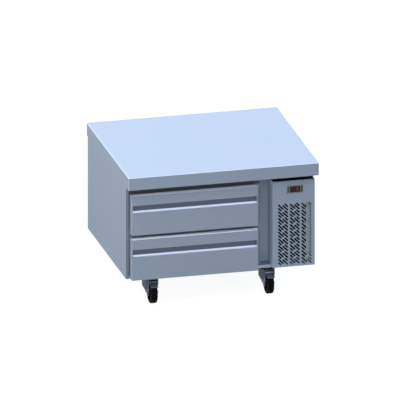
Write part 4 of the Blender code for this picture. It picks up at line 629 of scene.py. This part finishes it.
def runs_along_y(edge):
    return abs(edge.verts[0].co.y - edge.verts[1].co.y) > NEAR


def pick(piece, kind, wanted):
    """Goes into edit mode and selects the faces or edges for which wanted says true."""
    choose(piece)
    bpy.ops.object.mode_set(mode="EDIT")
    bpy.ops.mesh.select_mode(type=kind)
    bpy.ops.mesh.select_all(action="DESELECT")
    shape = bmesh.from_edit_mesh(piece.data)
    for part in shape.faces if kind == "FACE" else shape.edges:
        if wanted(part):
            part.select_set(True)
    bmesh.update_edit_mesh(piece.data)


def leave_edit():
    bpy.ops.object.mode_set(mode="OBJECT")


def round_edges(piece, wanted, width, segments=3):
    pick(piece, "EDGE", wanted)
    bpy.ops.mesh.bevel(offset=width, segments=segments, affect="EDGES", clamp_overlap=True)
    leave_edit()


def draw_out(piece, wanted, move):
    """Extrudes the faces that are wanted as one region."""
    pick(piece, "FACE", wanted)
    bpy.ops.mesh.extrude_region_move(TRANSFORM_OT_translate={"value": move})
    leave_edit()


def hollow(piece, wanted, rim, move):
    """Insets the faces that are wanted by a rim, then draws what is inside it in or out."""
    pick(piece, "FACE", wanted)
    bpy.ops.mesh.inset(thickness=rim, use_even_offset=True)
    bpy.ops.mesh.extrude_region_move(TRANSFORM_OT_translate={"value": move})
    leave_edit()


def score(piece, axis, value):
    """Splits every face that crosses one coordinate."""
    choose(piece)
    bpy.ops.object.mode_set(mode="EDIT")
    bpy.ops.mesh.select_all(action="SELECT")
    place, normal = [0, 0, 0], [0, 0, 0]
    place[axis], normal[axis] = value, 1
    bpy.ops.mesh.bisect(plane_co=place, plane_no=normal)
    leave_edit()


def cut_away(piece, *tools):
    """Takes the tools' shapes out of the piece. They are joined first, so they can't overlap."""
    tool = choose(*tools)
    if len(tools) > 1:
        bpy.ops.object.join()
    choose(piece)
    modifier = piece.modifiers.new("cut", "BOOLEAN")
    modifier.operation = "DIFFERENCE"
    modifier.solver = "EXACT"
    modifier.object = tool
    bpy.ops.object.modifier_apply(modifier="cut")
    bpy.data.objects.remove(tool)


def merge(name, *pieces):
    """Makes several pieces one object, each still a closed shell of its own."""
    whole = choose(*pieces)
    if len(pieces) > 1:
        bpy.ops.object.join()
    whole.name = whole.data.name = name
    return whole


def copy_to(piece, move):
    """A copy of a piece, with a mesh of its own, moved in its mesh."""
    twin = piece.copy()
    twin.data = piece.data.copy()
    twin.data.transform(Matrix.Translation(move))
    bpy.context.scene.collection.objects.link(twin)
    return twin


def dress(piece, finish, body, slot, *nodes):
    """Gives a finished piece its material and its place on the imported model."""
    choose(piece)
    piece.data.materials.clear()
    piece.data.materials.append(finish)
    bpy.ops.object.shade_smooth_by_angle(angle=SMOOTH)
    flats = piece.modifiers.new("flat_sides", "WEIGHTED_NORMAL")
    flats.keep_sharp = True
    bpy.ops.object.modifier_apply(modifier=flats.name)
    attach(piece, body)
    if nodes:
        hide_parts(*nodes)
    print(piece.name, "faces", len(piece.data.polygons), "rides on", body)


def finish_faces(piece, *rules):
    """Each rule is a finish and a test. It goes on the faces that pass, and a later rule wins."""
    shape = bmesh.new()
    shape.from_mesh(piece.data)
    for finish, wanted in rules:
        piece.data.materials.append(finish)
        for face in shape.faces:
            if wanted(face):
                face.material_index = len(piece.data.materials) - 1
    shape.to_mesh(piece.data)
    shape.free()


def is_sideways(face):
    return abs(face.normal.x) > STEEP


def is_frontal(face):
    return abs(face.normal.y) > STEEP


def is_top_at(height):
    """A test for the level faces at one height that look up."""
    return lambda face: face.normal.z > STEEP and lies_at(face, 2, height)


# %% [markdown]
# ## The worktop
# The worktop is the strongest sheet on the base: 2 mm stainless, folded down all round into a deep
# edge, with hat-shaped ribs welded underneath to carry the grill that stands on it. The block's
# upright and upper edges are rounded to the bend's outer radius, and its underside is hollowed
# until only the sheet is left. The bend is a little paler, a painted highlight, and the top's
# steel is a paler, bluer copy of the front's, which is painted light.

# %% Fold the worktop
TOP_SHEET = 0.002
TOP_BEND = 0.003  # the outer radius, as for every bend here
RIB_HEIGHT = 0.03
RIB_WIDTH = 0.06
RIB_STARTS = (0.12, 0.378, 0.636)  # how far behind the front edge each rib starts
RIB_LEFT_GAP = 0.01
RIB_RIGHT_GAP = 0.0207  # wider, as the worktop stands out further past the right side panel
RIB_BEND = 0.003


def top_rib(low, high, start, under):
    """A hat-shaped channel: a tray whose open side is pressed against the worktop."""
    near = (low.x + RIB_LEFT_GAP, low.y + start, under - RIB_HEIGHT)
    far = (high.x - RIB_RIGHT_GAP, low.y + start + RIB_WIDTH, under + TOP_SHEET / 4)
    rib = block("top_rib", near, far)
    round_edges(rib, lambda edge: not lies_at(edge, 2, far[2]), RIB_BEND)
    hollow(rib, lambda face: lies_at(face, 2, far[2]), TOP_SHEET, (0, 0, TOP_SHEET - RIB_HEIGHT))
    return rib


def folded_worktop():
    low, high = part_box("worktop")
    top = block("folded_worktop", low, high)
    round_edges(top, lambda edge: not lies_at(edge, 2, low.z), TOP_BEND, 4)
    depth = high.z - low.z - TOP_SHEET
    hollow(top, lambda face: lies_at(face, 2, low.z), TOP_SHEET, (0, 0, depth))
    ribs = [top_rib(low, high, start, high.z - TOP_SHEET) for start in RIB_STARTS]
    top = merge("folded_worktop", top, *ribs)
    dress(top, satin_worktop, "cabinet", "stainless_steel", "worktop")

    def on_bend(face):
        return SLIGHT < face.normal.z < STEEP and within(face, 2, high.z - TOP_BEND, high.z)

    # The bend gets the paler steel, a painted highlight.
    finish_faces(
        top, (steel_along_x, is_frontal), (steel_upright, is_sideways), (highlight_bend_steel, on_bend)
    )


folded_worktop()

# %% [markdown]
# ## The drawer faces
# Each face is one sheet folded back on all four sides into a shallow pan, which the foam fills.
# The handle is part of the fold: across the whole face the sheet turns in under a lip, and comes
# forward again in a sweep that fingers fall into. So a band of the block's front is pushed in, the
# pocket behind the lip is drawn up, and the low back edge is rounded into the sweep. The sweep,
# the pull's right end wall and the top edge are paler, a painted highlight, and the pocket above
# the sweep is darker, a painted shade.

# %% Fold the drawer faces
UPPER_STRIP, LOWER_STRIP = 0.046, 0.0495  # the height of the flat band over each pull
FACE_BEND = 0.0015
FACE_SHEET = 0.001
PULL_DEPTH = 0.018
PULL_HEIGHT = 0.041
PULL_LIP = 0.005  # how thick the lip is, from the front back to the pocket
PULL_HOOK = 0.009  # how far the pocket rises behind the lip
PULL_SWEEP = 0.015
LIT_SWEEP = 0.22  # the sweep gets the painted highlight where its normal points at least this much upward
PULL_END = 0.004  # the wall that is left at each end of the pull
PAN_DEPTH = 0.012
SIDE_HOLE_RADIUS = 0.003
SIDE_HOLE_DROP = 0.0265  # how far below the top edge the hole in each side lies
SIDE_HOLE_DEPTH = 0.009


def drawer_face(node, body, strip):
    low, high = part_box(node)
    face = block(f"folded_{node}", low, high)
    top, foot = high.z - strip, high.z - strip - PULL_HEIGHT
    left, right, back = low.x + PULL_END, high.x - PULL_END, low.y + PULL_DEPTH
    for axis, value in ((2, top), (2, foot), (0, left), (0, right)):
        score(face, axis, value)

    def in_band(part):
        reach = within(part, 2, foot, top) and within(part, 0, left, right)
        return reach and lies_at(part, 1, low.y)

    def in_ceiling(part):
        return lies_at(part, 2, top) and within(part, 1, low.y + PULL_LIP, back)

    def at_sweep(edge):
        return lies_at(edge, 1, back) and lies_at(edge, 2, foot)

    def at_rim(edge):
        ends = [min(abs(end.co.x - low.x), abs(end.co.x - high.x)) < NEAR for end in edge.verts]
        outside = lies_at(edge, 1, low.y) or all(ends)
        return is_sharp(edge) and outside and not lies_at(edge, 1, high.y)

    draw_out(face, in_band, (0, PULL_DEPTH, 0))
    score(face, 1, low.y + PULL_LIP)
    draw_out(face, in_ceiling, (0, 0, PULL_HOOK))
    round_edges(face, at_sweep, PULL_SWEEP, 10)
    round_edges(face, at_rim, FACE_BEND, 3)
    hollow(face, lambda part: lies_at(part, 1, high.y), FACE_SHEET, (0, -PAN_DEPTH, 0))
    holes = []
    for edge in (low.x, high.x):
        place = (edge, (low.y + high.y) / 2, high.z - SIDE_HOLE_DROP)
        holes.append(rod("side_hole", place, SIDE_HOLE_RADIUS, 2 * SIDE_HOLE_DEPTH, "X", 24))
    cut_away(face, *holes)
    dress(face, steel_along_x, body, "stainless_steel", node)

    def on_sweep(part):
        reach = within(part, 0, left, right) and within(part, 2, foot, foot + PULL_SWEEP)
        return reach and part.normal.z > LIT_SWEEP and within(part, 1, low.y, back)

    def in_pocket(part):
        inside = within(part, 0, left, right) and within(part, 1, low.y + PULL_LIP, back)
        return inside and within(part, 2, foot, top + PULL_HOOK) and part.normal.z <= LIT_SWEEP

    def on_end(part):
        return is_sideways(part) and in_pocket(part) and part.verts[0].co.x > (left + right) / 2

    # The end wall, the sweep and the top edge get paler steel as painted highlights, and the
    # pocket darker steel as painted shade.
    finish_faces(
        face,
        (steel_upright, is_sideways),
        (shaded_pocket_steel, in_pocket),
        (highlight_bend_steel, on_end),
        (highlight_bend_steel, on_sweep),
        (highlight_edge_steel, is_top_at(high.z)),
    )


drawer_face("upper_drawer_front", "upper_drawer", UPPER_STRIP)
drawer_face("lower_drawer_front", "lower_drawer", LOWER_STRIP)

# %% [markdown]
# ## The slotted cover
# The cooling machine breathes through the cover on its front. It is a tray of 1.2 mm sheet, with a
# long flange at its left that laps the post. The slots are punched in slanting rows: in each of
# three columns a row starts at the left edge and another ends at the right, and long slots take
# turns with short ones. One long and one short punch are modelled and copied to every place.

# %% Fold and punch the cover
COVER_SHEET = 0.0012
COVER_BEND = 0.0024
COVER_BACK = -0.3468  # where the tray's folded sides end, in metres along Y
LEDGE = 0.1418  # the height of the base's ledge, on which the long flange stands
PUNCH_REACH = 0.01  # how far a punch goes through the sheet, each way
CASE_HOLE_SIDE = 0.0036  # how far the bezel covers the sheet beside its hole
CASE_HOLE_END = 0.0032  # and above and below it
SLOT_SLANT = math.radians(45)
SLOT_WIDTH = 0.0081
SLOT_ROUNDING = 0.499 * SLOT_WIDTH  # just under half, so that the two bends of an end don't meet
SLOT_LONG = 0.03
SLOT_SHORT = 0.0155
SLOT_LINES = 18
SLOT_PITCH = 0.01693
SLOT_LEAD = 0.0024  # how much higher the slots at a column's right side sit
SLOT_TOP_MARGIN = 0.1153
COLUMN_WIDTH = 0.0481
COLUMN_PITCH = 0.0567
COLUMN_OFFSET = 0.0047  # how far right of the cover's middle the columns sit
COLUMNS = 3


def slot_punch(name, length):
    """A round-ended punch in the middle of the room, slanting down to the right."""
    half = Vector(((length + SLOT_WIDTH) / 2, PUNCH_REACH, SLOT_WIDTH / 2))
    punch = block(name, -half, half)
    round_edges(punch, runs_along_y, SLOT_ROUNDING, 5)
    punch.rotation_euler = (0, SLOT_SLANT, 0)
    return settle(punch, name)


def slot_places(low, high):
    """The middle of every slot, and whether it is a long one."""
    spans = [(length + SLOT_WIDTH) * math.sin(SLOT_SLANT) for length in (SLOT_LONG, SLOT_SHORT)]
    columns_width = COLUMN_WIDTH + COLUMN_PITCH * (COLUMNS - 1)
    first = (low.x + high.x - columns_width) / 2 + COLUMN_OFFSET
    for column in range(COLUMNS):
        left = first + COLUMN_PITCH * column
        for line in range(SLOT_LINES):
            top = high.z - SLOT_TOP_MARGIN - SLOT_PITCH * line
            near, far = spans[line % 2], spans[1 - line % 2]
            yield left + near / 2, top - near / 2, line % 2 == 0
            middle = top - spans[1] + SLOT_LEAD + far / 2
            yield left + COLUMN_WIDTH - far / 2, middle, line % 2 == 1


def slotted_cover():
    low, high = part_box("machine_cover")
    cover = block("slotted_cover", low, (high.x, COVER_BACK, high.z))
    round_edges(cover, lambda edge: not lies_at(edge, 1, COVER_BACK), COVER_BEND, 4)
    into = low.y + COVER_SHEET - COVER_BACK
    hollow(cover, lambda face: lies_at(face, 1, COVER_BACK), COVER_SHEET, (0, into, 0))
    score(cover, 2, LEDGE)

    def at_left_flange(face):
        edge = lies_at(face, 1, COVER_BACK) and within(face, 0, low.x, low.x + COVER_SHEET)
        return edge and within(face, 2, LEDGE, high.z)

    draw_out(cover, at_left_flange, (0, high.y - COVER_BACK, 0))
    long_punch = slot_punch("long_punch", SLOT_LONG)
    short_punch = slot_punch("short_punch", SLOT_SHORT)
    punches = []
    for x, z, is_long in slot_places(low, high):
        punches.append(copy_to(long_punch if is_long else short_punch, (x, low.y, z)))
    case_low, case_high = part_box("controller_case")
    inset = Vector((CASE_HOLE_SIDE, 0, CASE_HOLE_END))
    hole_low, hole_high = case_low + inset, case_high - inset
    hole_low.y, hole_high.y = low.y - PUNCH_REACH, low.y + PUNCH_REACH
    punches.append(block("case_hole", hole_low, hole_high))
    for punch in (long_punch, short_punch):
        bpy.data.objects.remove(punch)
    cut_away(cover, *punches)
    dress(cover, steel_along_x, "cabinet", "stainless_steel", "machine_cover")
    # The cover's top flange gets the near-black painted shadow.
    finish_faces(cover, (steel_upright, is_sideways), (shadow_black, is_top_at(high.z)))


slotted_cover()

# %% [markdown]
# ## The controller
# A panel controller clips into a hole in the cover. Its bezel is a rim of grey plastic round a
# smoked window, with two keys at each end. Bezel and body are two blocks, and the window's and the
# keys' pockets are sunk into them. The keys' pockets reach into the body, as a key needs room to
# travel. The number behind the window is made of seven bars, of which a figure lights its own.

# %% Model the controller
CASE_BEND = 0.0009
POCKET_GAP = 0.0003
POCKET_OVERRUN = 0.002  # how far in front of the bezel a pocket's tool starts
KEY_POCKET = 0.0034  # from the bezel's face: the key, its travel and a little room
BEZEL_DEPTH = 0.003
BODY_INSET = 0.0039  # how far the body's sides lie inside the bezel's
BODY_DROP = 0.0035  # and its top and underside
WELD = 0.0001  # how far the body reaches into the bezel
LENS_BEND = 0.0004
KEYS = range(1, 5)


def pocket(node, floor=None):
    """A block that clears one node, from in front of the bezel to the pocket's floor."""
    low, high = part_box(node)
    near = (low.x - POCKET_GAP, low.y - POCKET_OVERRUN, low.z - POCKET_GAP)
    return block("pocket", near, (high.x + POCKET_GAP, floor or high.y, high.z + POCKET_GAP))


def key_pockets(floor):
    return [pocket(f"controller_key_{index}", floor) for index in KEYS]


def controller_case():
    low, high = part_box("controller_case")
    back, floor = low.y + BEZEL_DEPTH, low.y + KEY_POCKET
    case = block("controller_bezel", low, (high.x, back, high.z))
    round_edges(case, lambda edge: not lies_at(edge, 1, back), CASE_BEND, 3)
    cut_away(case, pocket("controller_window"), *key_pockets(floor))
    body_low = (low.x + BODY_INSET, back - WELD, low.z + BODY_DROP)
    body_high = (high.x - BODY_INSET, high.y, high.z - BODY_DROP)
    body = block("controller_body", body_low, body_high)
    round_edges(body, lambda edge: lies_at(edge, 1, high.y), CASE_BEND, 2)
    cut_away(body, *key_pockets(floor))
    case = merge("controller_housing", case, body)
    dress(case, grey_abs, "cabinet", "grey_plastic", "controller_case")


def controller_window():
    low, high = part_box("controller_window")
    window = block("controller_lens", low, high)
    round_edges(window, lambda edge: lies_at(edge, 1, low.y), LENS_BEND, 2)
    dress(window, smoked_acrylic, "cabinet", "dark_window", "controller_window")


controller_case()
controller_window()

# %% Light the figure
FIGURE_HEIGHT = 0.0145
FIGURE_SLANT = math.radians(6)
FIGURE_MIDDLE = 0.0355  # from the window's left edge
FIGURE_BARS = "abgcd"  # the bars that make a three
BAR_WIDTH = 0.0016
BAR_PROUD = 0.0001  # how far the bars stand out of the window, so that their light shows
BAR_SETBACK = 0.7 * BAR_WIDTH  # how far a bar ends before the corner where it meets the next
BAR_TIP = 0.45 * BAR_WIDTH


def lit_figure():
    """The bars of the shown figure, a hair in front of the window, as light comes through it."""
    window_low, window_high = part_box("controller_window")
    half_high, half_wide = FIGURE_HEIGHT / 2, FIGURE_HEIGHT / 4
    along, up = (half_wide - BAR_SETBACK, 0), (0, half_high / 2 - BAR_SETBACK)
    places = {
        "a": (0, half_high, along),
        "b": (half_wide, half_high / 2, up),
        "c": (half_wide, -half_high / 2, up),
        "d": (0, -half_high, along),
        "g": (0, 0, along),
    }
    bars = []
    for letter in FIGURE_BARS:
        x, z, reach = places[letter]
        half = Vector((max(reach[0], BAR_WIDTH / 2), BAR_PROUD, max(reach[1], BAR_WIDTH / 2)))
        middle = Vector((x + math.tan(FIGURE_SLANT) * z, 0, z))
        bar = block("figure_bar", middle - half, middle + half)
        round_edges(bar, runs_along_y, BAR_TIP, 1)
        bars.append(bar)
    figure = merge("lit_figure", *bars)
    middle_z = (window_low.z + window_high.z) / 2
    figure.location = (window_low.x + FIGURE_MIDDLE, window_low.y, middle_z)
    settle(figure, "lit_figure")
    dress(figure, red_light, "cabinet", "dark_window")


lit_figure()

# %% Press the keys' caps
KEY_BEND = 0.0006
KEY_RIM = 0.0012
KEY_DISH = 0.0003


def controller_key(index):
    """A key cap: its front edges are rounded, and a shallow dish is pressed into its face."""
    low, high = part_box(f"controller_key_{index}")
    cap = block(f"key_cap_{index}", low, high)
    round_edges(cap, lambda edge: lies_at(edge, 1, low.y), KEY_BEND, 3)
    hollow(cap, lambda face: lies_at(face, 1, low.y), KEY_RIM, (0, KEY_DISH, 0))
    dress(cap, black_abs, f"key_{index}", "grey_plastic", f"controller_key_{index}")


for key_number in KEYS:
    controller_key(key_number)

# %% [markdown]
# ## The casters' wheels
# Each wheel is cast in one piece: a tread with round shoulders, dished sides and a hub that keeps
# the fork's legs off the tread. It is turned from a rod. The shoulders are rounded, both sides are
# dished, the hub is drawn back out of the dish, and the axle's bore goes through.

# %% Turn the wheels
RIM_WIDTH = 0.017  # how thick the tread is, from the wheel's edge to the dish
RIM_DISH = 0.008  # how deep the dish is
DISH_WIDTH = 0.02  # how wide the dish is, from the rim to the hub
HUB_RISE = 0.01  # how far the hub rises out of the dish
SHOULDER = 0.0065
BORE_RADIUS = 0.0056
BORE_TOOL_LENGTH = 0.06


def cast_wheel(corner):
    node = f"{corner}_caster_wheel"
    low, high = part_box(node)
    half = (high.x - low.x) / 2 - (HUB_RISE - RIM_DISH)
    middle = (low + high) / 2
    radius = (high.z - low.z) / 2
    wheel = rod(f"cast_{node}", middle, radius, 2 * half, "X", 64)
    for side in (-1, 1):
        rim = middle.x + side * half
        round_edges(wheel, lambda edge: lies_at(edge, 0, rim), SHOULDER, 5)
    for side in (-1, 1):
        rim = middle.x + side * half
        dish = rim - side * RIM_DISH
        flat_rim = RIM_WIDTH - SHOULDER
        hollow(wheel, lambda face: lies_at(face, 0, rim), flat_rim, (dish - rim, 0, 0))
        hollow(wheel, lambda face: lies_at(face, 0, dish), DISH_WIDTH, (side * HUB_RISE, 0, 0))
    cut_away(wheel, rod("bore", middle, BORE_RADIUS, BORE_TOOL_LENGTH, "X", 32))
    dress(wheel, wheel_rubber, f"{corner}_wheel", "black_polyurethane", node)


for corner in CORNERS:
    cast_wheel(corner)

# %% [markdown]
# ## The drawer gaskets
# A gasket is an extruded frame of soft PVC. Its flat front holds a magnet strip, and a bellows
# behind lets it give. The block is opened into a frame, and a groove runs round the outside and
# the inside between the two.

# %% Shape the gaskets
GASKET_WIDTH = 0.014
GASKET_CORNER = 0.002
GROOVE_RIM = 0.0022
GROOVE_DEPTH = 0.0016


def bellows_gasket(node, body):
    low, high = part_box(node)
    gasket = block(f"bellows_{node}", low, high)
    pick(gasket, "FACE", lambda face: lies_at(face, 1, low.y) or lies_at(face, 1, high.y))
    bpy.ops.mesh.inset(thickness=GASKET_WIDTH, use_even_offset=True)
    bpy.ops.mesh.bridge_edge_loops()
    leave_edit()
    round_edges(gasket, runs_along_y, GASKET_CORNER, 3)
    pick(gasket, "FACE", lambda face: not is_frontal(face))
    bpy.ops.mesh.inset(thickness=GROOVE_RIM, depth=-GROOVE_DEPTH, use_even_offset=True)
    leave_edit()
    dress(gasket, soft_pvc, body, "gasket_rubber", node)


bellows_gasket("upper_drawer_gasket", "upper_drawer")
bellows_gasket("lower_drawer_gasket", "lower_drawer")

# %% [markdown]
# ## Fixings
# Four hex bolts hold each caster's plate to the base, and a row of pan-head screws holds the back
# sheet. A bolt's head is a six-sided rod whose top edge is turned off at a chamfer. One of each is
# modelled and copied to every place.

# %% Bolt the casters and screw the back on
PLATE_THICKNESS = 0.003
BOLT_RADIUS = 0.0058  # to the head's six corners
BOLT_HEAD = 0.004
BOLT_CHAMFER = 0.0008
BOLT_ROW_X = 0.037  # how far each bolt lies from the plate's middle, across and along
BOLT_ROW_Y = 0.021
SCREW_RADIUS = 0.0045
SCREW_HEAD = 0.0025
SCREW_DOME = 0.8 * SCREW_HEAD  # how much of the head's height is rounded
SCREW_SLOT_FLOOR = 0.55 * SCREW_HEAD  # how far above the sheet the driver's slot ends
SCREW_SLOT_WIDTH = 0.001
SCREWS_ALONG = 5
SCREW_INSET = 0.014


def bolt_plates():
    for corner in CORNERS:
        low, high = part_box(f"{corner}_caster_plate")
        middle = (low + high) / 2
        under = high.z - PLATE_THICKNESS
        head = rod("bolt", (0, 0, under - BOLT_HEAD / 2), BOLT_RADIUS, BOLT_HEAD, "Z", 6)
        round_edges(head, lambda edge: lies_at(edge, 2, under - BOLT_HEAD), BOLT_CHAMFER, 2)
        heads = []
        for x in (-BOLT_ROW_X, BOLT_ROW_X):
            for y in (-BOLT_ROW_Y, BOLT_ROW_Y):
                heads.append(copy_to(head, (middle.x + x, middle.y + y, 0)))
        bpy.data.objects.remove(head)
        bolts = merge(f"{corner}_plate_bolts", *heads)
        dress(bolts, zinc_plate, "cabinet", "zinc_plated_steel")


def screw_back():
    low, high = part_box("back_panel")
    head = rod("screw", (0, high.y + SCREW_HEAD / 2, 0), SCREW_RADIUS, SCREW_HEAD, "Y", 20)
    round_edges(head, lambda edge: lies_at(edge, 1, high.y + SCREW_HEAD), SCREW_DOME, 4)
    slot_low = (-SCREW_RADIUS, high.y + SCREW_SLOT_FLOOR, -SCREW_SLOT_WIDTH / 2)
    slot_high = (SCREW_RADIUS, high.y + 2 * SCREW_HEAD, SCREW_SLOT_WIDTH / 2)
    cut_away(head, block("slot", slot_low, slot_high))
    heads = []
    for index in range(SCREWS_ALONG):
        share = index / (SCREWS_ALONG - 1)
        x = low.x + SCREW_INSET + (high.x - low.x - 2 * SCREW_INSET) * share
        for z in (low.z + SCREW_INSET, high.z - SCREW_INSET):
            heads.append(copy_to(head, (x, 0, z)))
    bpy.data.objects.remove(head)
    screws = merge("back_screws", *heads)
    dress(screws, zinc_plate, "cabinet", "zinc_plated_steel")


bolt_plates()
screw_back()
